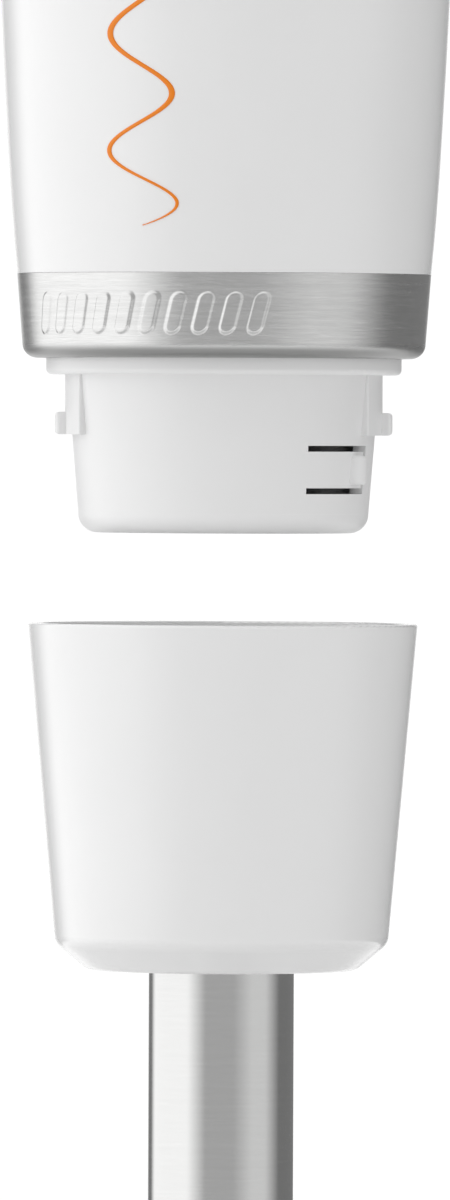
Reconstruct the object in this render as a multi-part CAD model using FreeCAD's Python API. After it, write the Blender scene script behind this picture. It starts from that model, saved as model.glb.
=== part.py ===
"""Corded hand blender: motor unit with a bayonet spigot, and a blending leg that comes off it.

Row frame: millimetres, +Z up along the drive axis, front of the handle towards -Y.  The origin is the
centre of the coupling plane, where the rim of the leg's collar meets the handle's steel band.  The leg
is designed in its seated place and stored pulled off, LEG_DROP lower.
"""

import FreeCAD, Part
import math
import os

V = FreeCAD.Vector
UP = V(0, 0, 1)

# ---- Clearances ---------------------------------------------------------------------------------
SLIDE_GAP = 0.25        # between pieces that slide past each other
SEAT_GAP = 0.05         # between pieces that are assembled and stay put
RUN_GAP = 0.03          # radial, between a shaft and its bearing
THREAD_GAP = 0.05       # radial, between a screw and its pilot hole
AIR_GAP = 0.6           # radial, between armature and poles

# ---- Handle -------------------------------------------------------------------------------------
BAND_TOP = 12.3         # height of the steel band
BAND_LOW_R = 29.4       # outer radius of the band where its lower corner starts
BAND_FLARE = 0.77       # how much wider the band is at its upper edge
BAND_TOP_R = BAND_LOW_R + BAND_FLARE
BAND_CORNER = 2.2       # radius of the lower corner
BAND_SHEET = 0.6        # sheet thickness
SHELL_TOP = 188.0       # height of the seam between handle shell and top cap
SHELL_FORM = [          # (swell over the band's upper radius, share of the height from band to seam)
    (0.0, 0.0), (0.88, 0.0586), (1.78, 0.1417), (2.53, 0.226), (3.23, 0.3569), (3.23, 0.4821),
    (1.93, 0.5902), (-0.47, 0.6984), (-2.77, 0.8065), (-3.67, 0.9032), (-3.27, 1.0),
]
SHELL_SIDE = SHELL_TOP - BAND_TOP
SHELL_OUTLINE = [(BAND_TOP_R + swell, BAND_TOP + share * SHELL_SIDE) for swell, share in SHELL_FORM]
SHELL_WALL = 2.8
MOTOR_BORE_R = BAND_LOW_R - 2.2         # bore of the skirt and of the ribs that hold the motor
SKIRT_FOOT = 2.6        # lower edge of the skirt behind the band
SLOT_HEIGHT = 2.2       # rear air slots
SLOT_PITCH = 4.6
SLOT_WIDTH = 24.0
SLOT_ROWS = ((29.0, 4), (118.0, 7))     # (height of the lowest slot, number of slots)

# ---- Grip pad and buttons -----------------------------------------------------------------------
PAD_WIDTH = 30.0
PAD_BOTTOM, PAD_TOP = 108.0, SHELL_TOP - 8.0
PAD_CORNER = 13.0
PAD_DEPTH = 1.1         # how deep the pad is let into the shell
PAD_PROUD = 0.3         # how far it stands out
BUTTON_R = 8.0
BUTTON_PROUD = 1.5
BUTTON_FLANGE_R = BUTTON_R + 1.6
BUTTON_FLANGE = 1.2
BUTTON_TRAVEL = 2.0
STEM_R = 2.2
STEM_END_Y = -16.0
BUTTON_HEIGHTS = {"power": PAD_TOP - 20.0, "turbo": PAD_TOP - 46.0}
SPRING_COIL_R = 4.2
SPRING_WIRE_R = 0.35
SPRING_TURNS = 4

# ---- Top cap, dial and cord gland ---------------------------------------------------------------
CAP_RISE = 12.0         # height of the cap above the seam
CAP_TOP = SHELL_TOP + CAP_RISE
CAP_ROOF = 4.6          # thickness of the cap's roof
CAP_FLAT_R = SHELL_OUTLINE[-1][0] - 5.4
CAP_SKIRT = 6.0         # how far the cap's skirt goes down inside the shell
DIAL_Y = -4.5
DIAL_R = 12.5
DIAL_WELL = 2.4
DIAL_HEIGHT = 8.6
DIAL_GRIPS = 24
SPINDLE_R = 3.0
GLAND_Y = 14.6
GLAND_BORE_R = 3.6
GLAND_R = 4.6
GLAND_FLANGE_R = 5.3
GLAND_FLANGE = 1.6
GLAND_BOTTOM = SHELL_TOP + 2.0

# ---- Coupling between handle and leg ------------------------------------------------------------
LUG_ANGLE = 0.0         # direction of the first bayonet lug, degrees from +X
LUG_HALF_ANGLE = 7.5
FLANGE_R = BAND_LOW_R - 3.5
FLANGE_BOTTOM = -2.4
LUG_R = FLANGE_R - 1.3
LUG_BOTTOM, LUG_TOP = -11.15, -7.85
GUIDE_R = LUG_R - 1.45  # raised guide behind each lug
GUIDE_HALF_ANGLE = 25.0
TWIST = 20.0            # turn that locks the leg, degrees
SPIGOT_TOP_R = GUIDE_R - 0.4            # radius of the spigot under its flange
SPIGOT_DRAFT = 1.6
SPIGOT_LOW_R = SPIGOT_TOP_R - SPIGOT_DRAFT
SPIGOT_BOTTOM = -25.4
SPIGOT_CORNER = 2.9
SPIGOT_WALL = 2.0
SPIGOT_PLATE_R = BAND_LOW_R - 1.0       # plate that closes the shell above the band's lip
SPIGOT_PLATE_EDGE = 1.7 # height where the plate's chamfer over the band's corner starts
SPIGOT_PLATE_TOP = 2.4
WELL_R = 9.5            # bore of the well around the motor coupling
WELL_WALL = 1.7
WELL_TOP = -6.0
FINGER_FROM, FINGER_TO = -56.0, -19.5   # sprung detent finger, degrees from the lug
FINGER_BOTTOM, FINGER_TOP = -18.8, -13.5
FINGER_SLOT = 0.85
DETENT_ANGLE = -27.0
DETENT_R = 1.9
DETENT_REACH = GUIDE_R - 0.05
SCREW_CIRCLE_R = 15.5   # spigot screws
SCREW_ANGLES = (0.0, 120.0, 240.0)
SCREW_BOSS_R = 3.5
SPIGOT_BOSS_TOP = 12.0
SCREW_R = 1.5
SCREW_HEAD_R = 2.8
SCREW_HEAD = 2.2

# ---- Drive dogs ---------------------------------------------------------------------------------
DOG_TEETH = 4
DOG_CUP_R = 8.6
DOG_CUP_BORE_R = 6.4
DOG_CUP_TOOTH_R = 3.7
DOG_CUP_TOOTH = 30.0    # width of a tooth in the cup, degrees
DOG_CORE_R = 3.3
DOG_LOBE_R = 6.0
DOG_LOBE = 24.0         # width of a lobe of the leg's dog, degrees
DOG_CUP_BOTTOM, DOG_CUP_FLOOR, DOG_CUP_TOP = -21.0, -11.5, -3.5
DOG_HUB_R = 5.5
DOG_LOBE_BOTTOM, DOG_LOBE_TOP = -21.3, -12.4
DOG_COLLAR_R = 7.0
DOG_COLLAR_BOTTOM = -25.2

# ---- Motor --------------------------------------------------------------------------------------
STATOR_R = MOTOR_BORE_R - 2.0
STATOR_FLAT = STATOR_R - 1.6            # distance of the side flats from the axis
STATOR_BOTTOM, STATOR_TOP = 46.0, 76.0
YOKE = 4.6
COIL_DEPTH = 3.6
SHOE = 2.3
POLE_HALF_WIDTH = 8.3
SHOE_HALF_ANGLE = 58.0
COIL_OVERHANG = 5.5
ARMATURE_R = 13.7
ARMATURE_SLOTS = 12
SLOT_R = 1.9
ROTOR_SHAFT_R = 3.0
COMMUTATOR_R = 9.6
COMMUTATOR_BOTTOM, COMMUTATOR_TOP = 83.2, 92.4
COMMUTATOR_BARS = 24
FAN_R = STATOR_R - 4.2
FAN_BOTTOM, FAN_TOP = 30.4, 38.4
FAN_BLADES = 11
BRACKET_WALL = 2.2
BRACKET_FLOOR = 2.4
LOWER_BRACKET_FLOOR_Z = 26.0
UPPER_BRACKET_ROOF_Z = 97.0
BEARING_R = 8.0
BEARING_WIDTH = 5.0
LOWER_BEARING_Z = 22.8
UPPER_BEARING_Z = 93.0
MOTOR_SCREW_R = 1.5
MOTOR_SCREW_CIRCLE = STATOR_R - 2.3
MOTOR_SCREW_ANGLES = (45.0, 225.0)
MOUNT_WIDTH = 6.0
RIB_EDGE = 1.0          # how far a rib of the shell runs past its mount
LOWER_MOUNT_Z = 34.0
UPPER_MOUNT_Z = 78.0
BRUSH = 6.0             # side of a carbon brush
BRUSH_Z = 87.9
BRUSH_LENGTH = 8.0
HOLDER_WALL = 0.9
HOLDER_END_X = STATOR_R - 0.2

# ---- Control parts ------------------------------------------------------------------------------
SPINE_Y = 3.0
SPINE_THICK = 2.5
SPINE_HALF_WIDTH = 15.0
CHASSIS_RING_Z = 99.6
CHASSIS_RING = 2.6
CHASSIS_RING_R = STATOR_R - 0.6
SHELF_BOTTOM, SHELF_TOP = SHELL_TOP - 3.6, SHELL_TOP - 1.2
SHELF_R = CAP_FLAT_R - 0.9
BOARD_FRONT_Y = -8.6
BOARD_THICK = 1.6
BOARD_HALF_WIDTH = 12.5
BOARD_BOTTOM, BOARD_TOP = 117.0, SHELL_TOP - 12.0
BOARD_POST_R = 2.4
BOARD_POST_X = 9.5
BOARD_POST_EDGE = 3.2
SWITCH_SIDE = 11.0
SWITCH_TOP_Y = -14.0
PLUNGER_R = 1.6
PLUNGER_IN = 2.0        # how deep a resting plunger sits in its switch
POT_R = 8.5
POT_HEIGHT = 8.0
POT_BUSH_R = 4.4
CAP_SCREW_R = 1.3
CAP_SCREW_X = 8.6
LEAD_R = 0.8
CLAMP_BOTTOM, CLAMP_TOP = SHELL_TOP - 15.0, SHELL_TOP - 10.0
CAPACITOR = (17.0, 8.0, 14.0)           # width, depth and height
CAPACITOR_Z = BOARD_BOTTOM + 7.0
HEAT_SINK = (18.0, 9.0, 20.0)           # width, depth and height
HEAT_SINK_SHEET = 1.5
HEAT_SINK_Z = BOARD_BOTTOM + 28.0

# ---- Blending leg, seated -----------------------------------------------------------------------
LEG_DROP = 38.4         # how far the stored leg hangs below its seated place
RIM_Z = -0.2
COLLAR_R = FLANGE_R + 2.5               # outer radius at the rim
COLLAR_DRAFT = 0.0885   # loss of radius per millimetre of height
COLLAR_CORNER_Z = -46.8
COLLAR_BOTTOM = -50.7
COLLAR_CHAMFER = 4.66   # how far in the flat foot starts from the corner above it
COLLAR_WALL = 1.8
LINER_TOP = -3.0
LINER_BORE_R = GUIDE_R + 0.4
LINER_TAPER_Z = -20.0
LINER_LOW_R = SPIGOT_LOW_R + 1.15
LINER_FLOOR_TOP, LINER_FLOOR_BOTTOM = -26.4, -28.8
LINER_SLEEVE_BOTTOM = -64.0
TRACK_CLEARANCE = 0.35  # around a lug in its track
TRACK_R = LUG_R + TRACK_CLEARANCE
GASKET_R_IN, GASKET_R_OUT = 12.0, 14.6
GASKET_TOP = -25.55
BELL_RIM_Z = -198.0     # middle of the bead at the bell's rim; sets the leg's length
TUBE_R = 10.6
TUBE_WALL = 0.6
TUBE_BOTTOM = BELL_RIM_Z + 42.5
DRIVE_R = 2.5
DRIVE_TOP = -14.0
BUSH_R = 5.5
UPPER_BUSH_TOP, UPPER_BUSH_BOTTOM = -26.0, -40.0
CARRIER_TOP, CARRIER_BOTTOM = BELL_RIM_Z + 58.0, BELL_RIM_Z + 25.0
LOWER_BUSH_TOP, LOWER_BUSH_BOTTOM = BELL_RIM_Z + 42.0, BELL_RIM_Z + 29.0
SEAL_BOTTOM = BELL_RIM_Z + 23.4
SEAL_R = 7.0
PIN_R = 1.0
PIN_Z = -36.0

# ---- Bell and blade, seated ---------------------------------------------------------------------
BELL_WALL = 0.9
BELL_NECK_TOP = BELL_RIM_Z + 50.0
BELL_R = 31.2
BELL_NECK_R = TUBE_R + SEAT_GAP + BELL_WALL
BELL_OUTLINE = [        # (radius, height) of the bell's outer face below its straight neck
    (BELL_NECK_R, BELL_RIM_Z + 42.0), (BELL_NECK_R + 1.65, BELL_RIM_Z + 37.0),
    (BELL_R - 12.2, BELL_RIM_Z + 32.4), (BELL_R - 5.6, BELL_RIM_Z + 27.4),
    (BELL_R - 1.8, BELL_RIM_Z + 20.0), (BELL_R - 0.3, BELL_RIM_Z + 10.0), (BELL_R, BELL_RIM_Z),
]
BEAD_R = 0.95
ARCH_WIDTH, ARCH_HEIGHT = 19.0, 7.5
WINDOW_WIDTH, WINDOW_HEIGHT = 13.0, 6.4
WINDOW_Z = BELL_RIM_Z + 13.5
BLADE_Z = BELL_RIM_Z + 14.0
BLADE_THICK = 1.4
BLADE_R = 21.0
BLADE_ROOT = 11.0       # width of an arm at the hub
BLADE_TIP = 5.0
BLADE_HUB_R = 6.4
BLADE_UP, BLADE_DOWN = 24.0, -16.0      # bend of the two pairs of arms, degrees
SPACER_R = 4.6
NUT_R = 4.6
NUT_HEIGHT = 3.4


# ---- Helpers ------------------------------------------------------------------------------------
def polar(radius, degrees, z=0.0):
    """The point at a radius and an angle from +X."""
    a = math.radians(degrees)
    return V(radius * math.cos(a), radius * math.sin(a), z)


def cylinder(radius, z0, z1, x=0.0, y=0.0):
    return Part.makeCylinder(radius, z1 - z0, V(x, y, z0))


def tube(outer, inner, z0, z1, x=0.0, y=0.0):
    return cylinder(outer, z0, z1, x, y).cut(cylinder(inner, z0 - 1, z1 + 1, x, y))


def rod_y(radius, y0, y1, x=0.0, z=0.0):
    """A cylinder along Y."""
    return Part.makeCylinder(radius, y1 - y0, V(x, y0, z), V(0, 1, 0))


def rod_x(radius, x0, x1, y=0.0, z=0.0):
    """A cylinder along X."""
    return Part.makeCylinder(radius, x1 - x0, V(x0, y, z), V(1, 0, 0))


def box(x0, x1, y0, y1, z0, z1):
    return Part.makeBox(x1 - x0, y1 - y0, z1 - z0, V(x0, y0, z0))


def lines(points):
    """Straight edges through (radius, height) points, in the XZ plane."""
    at = [V(r, 0, z) for r, z in points]
    return [Part.LineSegment(a, b).toShape() for a, b in zip(at, at[1:]) if (a - b).Length > 1e-6]


def smooth(points, ends=None):
    """The smooth curve through (radius, height) points, with given directions at both ends or free ones."""
    curve = Part.BSplineCurve()
    at = [V(r, 0, z) for r, z in points]
    if ends:
        curve.interpolate(Points=at, InitialTangent=ends[0], FinalTangent=ends[1])
    else:
        curve.interpolate(at)
    return curve


def spline(points, ends=None):
    return smooth(points, ends).toShape()


def offset(points, distance, ends=None):
    """The points moved along the normals of their smooth curve; a positive distance moves them inwards."""
    curve = smooth(points, ends)
    moved = []
    for r, z in points:
        along = curve.tangent(curve.parameter(V(r, 0, z)))[0]
        side = V(-along.z, 0, along.x)
        side = side if side.x < 0 else side * -1
        moved.append((r + side.x * distance, z + side.z * distance))
    return moved


def turned(edges, degrees=360.0, start=0.0):
    """The solid swept by a closed outline in the XZ plane as it turns about Z."""
    face = Part.Face(Part.Wire(Part.__sortEdges__(edges)))
    solid = face.revolve(V(0, 0, 0), UP, degrees)
    return solid.rotated(V(0, 0, 0), UP, start)


def turned_outline(points, degrees=360.0, start=0.0):
    """As turned(), from the corners of a closed outline of straight lines."""
    return turned(lines([*points, points[0]]), degrees, start)


def sector(inner, outer, z0, z1, middle, half):
    """A piece of a ring, from middle - half to middle + half degrees."""
    corners = [(inner, z0), (outer, z0), (outer, z1), (inner, z1)]
    return turned_outline(corners, 2 * half, middle - half)


def around(shape, angles):
    """Copies of a shape turned about Z."""
    return [shape.rotated(V(0, 0, 0), UP, a) for a in angles]


def even(count, start=0.0):
    """Evenly spaced angles."""
    return [start + 360.0 * i / count for i in range(count)]


def rounded(shape, radius, wanted):
    """The shape with the edges that wanted() picks filleted."""
    return shape.makeFillet(radius, [e for e in shape.Edges if wanted(e)])


def follows(edge, axis):
    """Whether an edge starts out along an axis."""
    return abs(getattr(edge.tangentAt(edge.FirstParameter), axis)) > 0.999


def is_circle(edge, radius, z):
    """Whether an edge is a circle about Z of that radius and height."""
    curve = edge.Curve
    if not isinstance(curve, Part.Circle):
        return False
    return abs(curve.Radius - radius) < 1e-3 and abs(curve.Center.z - z) < 1e-3


def slab_y(width, z0, z1, corner, y0, y1):
    """A rounded rectangle in the XZ plane, extruded along Y."""
    plain = box(-width / 2, width / 2, y0, y1, z0, z1)
    return rounded(plain, corner, lambda e: follows(e, "y"))


def coil(radius, wire_radius, length, turns, at, direction):
    """A helical compression spring from a point along a direction."""
    pitch = (length - 2 * wire_radius) / turns
    helix = Part.makeLongHelix(pitch, pitch * turns, radius)
    section = Part.Wire(Part.makeCircle(wire_radius, V(radius, 0, 0), V(0, 1, 0)))
    spring = Part.Wire(helix).makePipeShell([section], True, True)
    spring.Placement = FreeCAD.Placement(at + direction * wire_radius, FreeCAD.Rotation(UP, direction))
    return spring


def lead(points, radius):
    """A wire of straight runs joined by tangent arcs, each as large as its shorter run allows."""
    edges, start = [], points[0]
    for before, corner, after in zip(points, points[1:], points[2:]):
        one, two = (before - corner), (after - corner)
        run = 0.45 * min(one.Length, two.Length)
        one.normalize()
        two.normalize()
        enter, leave = corner + one * run, corner + two * run
        half = (one.getAngle(two)) / 2
        inner = (one + two).normalize()
        reach = run / math.cos(half) - run * math.tan(half)
        edges.append(Part.LineSegment(start, enter).toShape())
        edges.append(Part.Arc(enter, corner + inner * reach, leave).toShape())
        start = leave
    edges.append(Part.LineSegment(start, points[-1]).toShape())
    path = Part.Wire(edges)
    section = Part.Wire(Part.makeCircle(radius, points[0], points[1] - points[0]))
    return path.makePipeShell([section], True, False)


def screw(x, y, head_z, tip_z, radius, head_radius, head_height):
    """A pan-head screw along Z with its head at head_z and a cross recess."""
    up = 1 if head_z > tip_z else -1
    shank = cylinder(radius, min(head_z, tip_z), max(head_z, tip_z), x, y)
    low, high = sorted((head_z, head_z + up * head_height))
    head = cylinder(head_radius, low, high, x, y)
    far = head_z + up * head_height
    head = rounded(head, head_height * 0.35, lambda e: is_circle(e, head_radius, far))
    deep = sorted((far + up, far - up * head_height * 0.55))
    slot = head_radius * 0.22
    for half_x, half_y in ((head_radius * 0.6, slot), (slot, head_radius * 0.6)):
        head = head.cut(box(x - half_x, x + half_x, y - half_y, y + half_y, deep[0], deep[1]))
    return shank.fuse(head).removeSplitter()


def handle_body(grow, low=BAND_TOP, high=SHELL_TOP):
    """The handle's outer form, filled in, with its surface moved outwards by grow."""
    points = offset(SHELL_OUTLINE, -grow)
    edges = [spline(points)] + lines([points[-1], (0, points[-1][1]), (0, points[0][1]), points[0]])
    return turned(edges).common(cylinder(60, low, high))


def shell_bore(z):
    """Radius of the shell's bore at a height."""
    points = spline(offset(SHELL_OUTLINE, SHELL_WALL)).discretize(Number=400)
    return min(points, key=lambda at: abs(at.z - z)).x


def collar_radius(z):
    """Outer radius of the leg's collar at a seated height."""
    return COLLAR_R - COLLAR_DRAFT * (RIM_Z - z)


# ---- Handle pieces ------------------------------------------------------------------------------
def band_outline(inset):
    """The band's outer face moved inwards: straight side, rounded lower corner, lip."""
    corner = BAND_CORNER - inset
    centre_r, centre_z = BAND_LOW_R - BAND_CORNER, BAND_CORNER
    half = corner * math.sqrt(0.5)
    middle = (centre_r + half, centre_z - half)
    end = (centre_r, centre_z - corner)
    return (BAND_TOP_R - inset, BAND_TOP), (centre_r + corner, centre_z), middle, end


def steel_band():
    """A formed sheet ring with a rounded lower corner and a lip that turns in under the shell."""
    lip_r = FLANGE_R + SLIDE_GAP
    edges = []
    ends = []
    for inset in (0.0, BAND_SHEET):
        top, start, middle, end = band_outline(inset)
        edges += lines([top, start])
        edges.append(Part.Arc(*[V(r, 0, z) for r, z in (start, middle, end)]).toShape())
        lip = (lip_r, end[1])
        edges += lines([end, lip])
        ends.append((top, lip))
    edges += lines([ends[0][0], ends[1][0]]) + lines([ends[0][1], ends[1][1]])
    return turned(edges)


def pad_form(side_gap, depth, proud):
    """The pad's form: a rounded panel through the front of the handle, between two depths of its surface."""
    slab = slab_y(PAD_WIDTH + 2 * side_gap, PAD_BOTTOM - side_gap, PAD_TOP + side_gap, PAD_CORNER, -60, -5)
    return slab.common(handle_body(proud)).cut(handle_body(-depth))


def handle_shell():
    """The seamless moulded sleeve, with the pad's recess, button holes and rear air slots."""
    skirt_top_r = BAND_TOP_R - BAND_SHEET - SEAT_GAP
    skirt_foot_r = BAND_LOW_R - BAND_SHEET - SEAT_GAP
    bore = offset(SHELL_OUTLINE, SHELL_WALL)
    skirt = [
        SHELL_OUTLINE[0], (skirt_top_r, BAND_TOP), (skirt_foot_r, SKIRT_FOOT), (MOTOR_BORE_R, SKIRT_FOOT),
        (MOTOR_BORE_R, BAND_TOP), bore[0],
    ]
    sides = [spline(SHELL_OUTLINE), spline(bore)]
    shell = turned(sides + lines(skirt) + lines([bore[-1], SHELL_OUTLINE[-1]]))
    shell = shell.common(cylinder(60, 0, SHELL_TOP))
    for z in (LOWER_MOUNT_Z, UPPER_MOUNT_Z):
        rib = handle_body(-SHELL_WALL / 2, z - RIB_EDGE, z + MOUNT_WIDTH + RIB_EDGE)
        shell = shell.fuse(rib.cut(cylinder(MOTOR_BORE_R, 0, SHELL_TOP)))
    shell = shell.cut(pad_form(SEAT_GAP, PAD_DEPTH + SEAT_GAP, 2.0))
    for z in BUTTON_HEIGHTS.values():
        shell = shell.cut(rod_y(BUTTON_R + SLIDE_GAP, -60, -10, z=z))
    for first, count in SLOT_ROWS:
        for i in range(count):
            z = first + i * SLOT_PITCH
            shell = shell.cut(slab_y(SLOT_WIDTH, z, z + SLOT_HEIGHT, SLOT_HEIGHT * 0.45, 15, 60))
    return shell


def grip_pad():
    """The soft panel on the front, with a hole for each button."""
    pad = pad_form(0.0, PAD_DEPTH, PAD_PROUD)
    for z in BUTTON_HEIGHTS.values():
        pad = pad.cut(rod_y(BUTTON_R + SLIDE_GAP, -60, -5, z=z))
    return pad


def top_cap():
    """The domed lid: skirt inside the shell, well for the dial, holes for spindle, cord and screws."""
    edge_r = SHELL_OUTLINE[-1][0]
    dome = [
        (edge_r, SHELL_TOP), (edge_r - 0.15, SHELL_TOP + 4.5), (edge_r - 1.6, CAP_TOP - 3.2),
        (CAP_FLAT_R, CAP_TOP),
    ]
    roof = CAP_TOP - CAP_ROOF
    skirt_r = shell_bore(SHELL_TOP - CAP_SKIRT) - 2 * SEAT_GAP
    hollow_r = skirt_r - 2.0
    rest = [
        (CAP_FLAT_R, CAP_TOP), (0, CAP_TOP), (0, roof), (hollow_r - 1.5, roof), (hollow_r, roof - 1.5),
        (hollow_r, SHELL_TOP - CAP_SKIRT), (skirt_r, SHELL_TOP - CAP_SKIRT), (skirt_r, SHELL_TOP), dome[0],
    ]
    cap = turned([spline(dome)] + lines(rest))
    well = cylinder(DIAL_R + 2 * SLIDE_GAP, CAP_TOP - DIAL_WELL, CAP_TOP + 5, 0, DIAL_Y)
    cap = cap.cut(well).cut(cylinder(SPINDLE_R + 2.6, roof - 5, CAP_TOP, 0, DIAL_Y))
    cap = cap.cut(cylinder(GLAND_R, roof - 9, CAP_TOP + 5, 0, GLAND_Y))
    for x in (-CAP_SCREW_X, CAP_SCREW_X):
        cap = cap.cut(cylinder(CAP_SCREW_R + THREAD_GAP, roof - 1, CAP_TOP, x, DIAL_Y))
        cap = cap.cut(cylinder(2.5, CAP_TOP - DIAL_WELL - 1.4, CAP_TOP, x, DIAL_Y))
    return cap


def cap_screws():
    head_z = CAP_TOP - DIAL_WELL - 1.4
    tip_z = SHELF_TOP + 0.6
    return [screw(x, DIAL_Y, head_z, tip_z, CAP_SCREW_R, 2.3, 1.2) for x in (-CAP_SCREW_X, CAP_SCREW_X)]


def cord_gland():
    """The rubber bush that the supply cord would come out of."""
    roof = CAP_TOP - CAP_ROOF
    body = cylinder(GLAND_R, GLAND_BOTTOM, CAP_TOP, 0, GLAND_Y)
    top = cylinder(GLAND_FLANGE_R, CAP_TOP, CAP_TOP + GLAND_FLANGE, 0, GLAND_Y)
    top = rounded(top, 0.7, lambda e: is_circle(e, GLAND_FLANGE_R, CAP_TOP + GLAND_FLANGE))
    keeper = cylinder(GLAND_FLANGE_R, roof - GLAND_FLANGE, roof, 0, GLAND_Y)
    bore = cylinder(GLAND_BORE_R, GLAND_BOTTOM - 1, CAP_TOP + 5, 0, GLAND_Y)
    return body.fuse([top, keeper]).removeSplitter().cut(bore)


# ---- Coupling spigot ----------------------------------------------------------------------------
def spigot_lug(angle):
    lug = sector(SPIGOT_LOW_R - 0.5, LUG_R, LUG_BOTTOM, LUG_TOP, 0, LUG_HALF_ANGLE)
    lug = rounded(lug, 0.6, lambda e: e.BoundBox.XMin > SPIGOT_TOP_R)
    return lug.rotated(V(0, 0, 0), UP, angle)


def detent_finger_cuts(angle):
    """The C-shaped slot that frees the finger on three sides."""
    deep, wide = SPIGOT_LOW_R - SPIGOT_WALL - 2.0, SPIGOT_TOP_R + 3.0
    middle, half = (FINGER_FROM + FINGER_TO) / 2, (FINGER_TO - FINGER_FROM) / 2
    above = sector(deep, wide, FINGER_TOP, FINGER_TOP + FINGER_SLOT, middle, half)
    below = sector(deep, wide, FINGER_BOTTOM - FINGER_SLOT, FINGER_BOTTOM, middle, half)
    end_half = math.degrees(FINGER_SLOT / SPIGOT_LOW_R) / 2
    low, high = FINGER_BOTTOM - FINGER_SLOT, FINGER_TOP + FINGER_SLOT
    end = sector(deep, wide, low, high, FINGER_TO - end_half, end_half)
    return above.fuse([below, end]).rotated(V(0, 0, 0), UP, angle)


def detent_bump(angle):
    at = polar(DETENT_REACH - DETENT_R, DETENT_ANGLE)
    low, high = FINGER_BOTTOM + 0.5, FINGER_TOP - 0.5
    bump = cylinder(DETENT_R, low, high, at.x, at.y)
    bump = rounded(bump, 0.7, lambda e: isinstance(e.Curve, Part.Circle))
    return bump.rotated(V(0, 0, 0), UP, angle)


def spigot_guide(angle):
    """The raised pad behind a lug, with its two upright outer edges eased."""
    def outer_upright(edge):
        box = edge.BoundBox
        upright = follows(edge, "z") and box.YLength < 1e-6
        return upright and math.hypot(box.XMax, box.YMax) > GUIDE_R - 0.1

    guide = sector(SPIGOT_LOW_R - 0.5, GUIDE_R, LUG_BOTTOM, FLANGE_BOTTOM, 0, GUIDE_HALF_ANGLE)
    return rounded(guide, 0.3, outer_upright).rotated(V(0, 0, 0), UP, angle)


def coupling_spigot():
    """The bayonet spigot: drafted cup with flange, guides, lugs, sprung fingers, well and screw bosses."""
    plate_z = BAND_SHEET + SEAT_GAP
    wall_low_r, wall_top_r = SPIGOT_LOW_R - SPIGOT_WALL, SPIGOT_TOP_R - SPIGOT_WALL
    floor_z = SPIGOT_BOTTOM + SPIGOT_WALL
    outer = [
        (SPIGOT_PLATE_R, SPIGOT_PLATE_TOP), (SPIGOT_PLATE_R, SPIGOT_PLATE_EDGE),
        (BAND_LOW_R - BAND_CORNER, plate_z), (FLANGE_R - 0.3, plate_z), (FLANGE_R - 0.3, 0), (FLANGE_R, 0),
        (FLANGE_R, FLANGE_BOTTOM),
        (SPIGOT_TOP_R, FLANGE_BOTTOM), (SPIGOT_LOW_R, SPIGOT_BOTTOM + SPIGOT_CORNER),
        (SPIGOT_LOW_R, SPIGOT_BOTTOM),
        (WELL_R, SPIGOT_BOTTOM), (WELL_R, WELL_TOP), (WELL_R + WELL_WALL, WELL_TOP),
        (WELL_R + WELL_WALL, floor_z), (wall_low_r, floor_z), (wall_top_r, FLANGE_BOTTOM),
        (wall_top_r, SPIGOT_PLATE_TOP),
    ]
    cup = turned_outline(outer)
    cup = rounded(cup, SPIGOT_CORNER - 0.1, lambda e: is_circle(e, SPIGOT_LOW_R, SPIGOT_BOTTOM))
    cup = rounded(cup, 0.8, lambda e: is_circle(e, FLANGE_R, FLANGE_BOTTOM))
    cup = rounded(cup, 0.6, lambda e: is_circle(e, WELL_R, SPIGOT_BOTTOM))
    added, cuts = [], []
    for angle in (LUG_ANGLE, LUG_ANGLE + 180.0):
        added += [spigot_guide(angle), spigot_lug(angle)]
        cuts.append(detent_finger_cuts(angle))
    cup = cup.fuse(added)
    for cut in cuts:
        cup = cup.cut(cut)
    cup = cup.fuse([detent_bump(angle) for angle in (LUG_ANGLE, LUG_ANGLE + 180.0)])
    for angle in SCREW_ANGLES:
        at = polar(SCREW_CIRCLE_R, angle)
        cup = cup.fuse(cylinder(SCREW_BOSS_R, SPIGOT_BOTTOM + SPIGOT_WALL / 2, SPIGOT_BOSS_TOP, at.x, at.y))
        cup = cup.cut(cylinder(SCREW_R + 0.2, SPIGOT_BOTTOM - 1, SPIGOT_BOSS_TOP + 1, at.x, at.y))
        seat_z = SPIGOT_BOTTOM + SCREW_HEAD + 0.4
        cup = cup.cut(cylinder(SCREW_HEAD_R + 0.3, SPIGOT_BOTTOM - 1, seat_z, at.x, at.y))
    return cup.removeSplitter()


def spigot_screws():
    head_z = SPIGOT_BOTTOM + SCREW_HEAD + 0.4
    made = []
    for angle in SCREW_ANGLES:
        at = polar(SCREW_CIRCLE_R, angle)
        made.append(screw(at.x, at.y, head_z, LOWER_BRACKET_FLOOR_Z - 3, SCREW_R, SCREW_HEAD_R, SCREW_HEAD))
    return made


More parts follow.
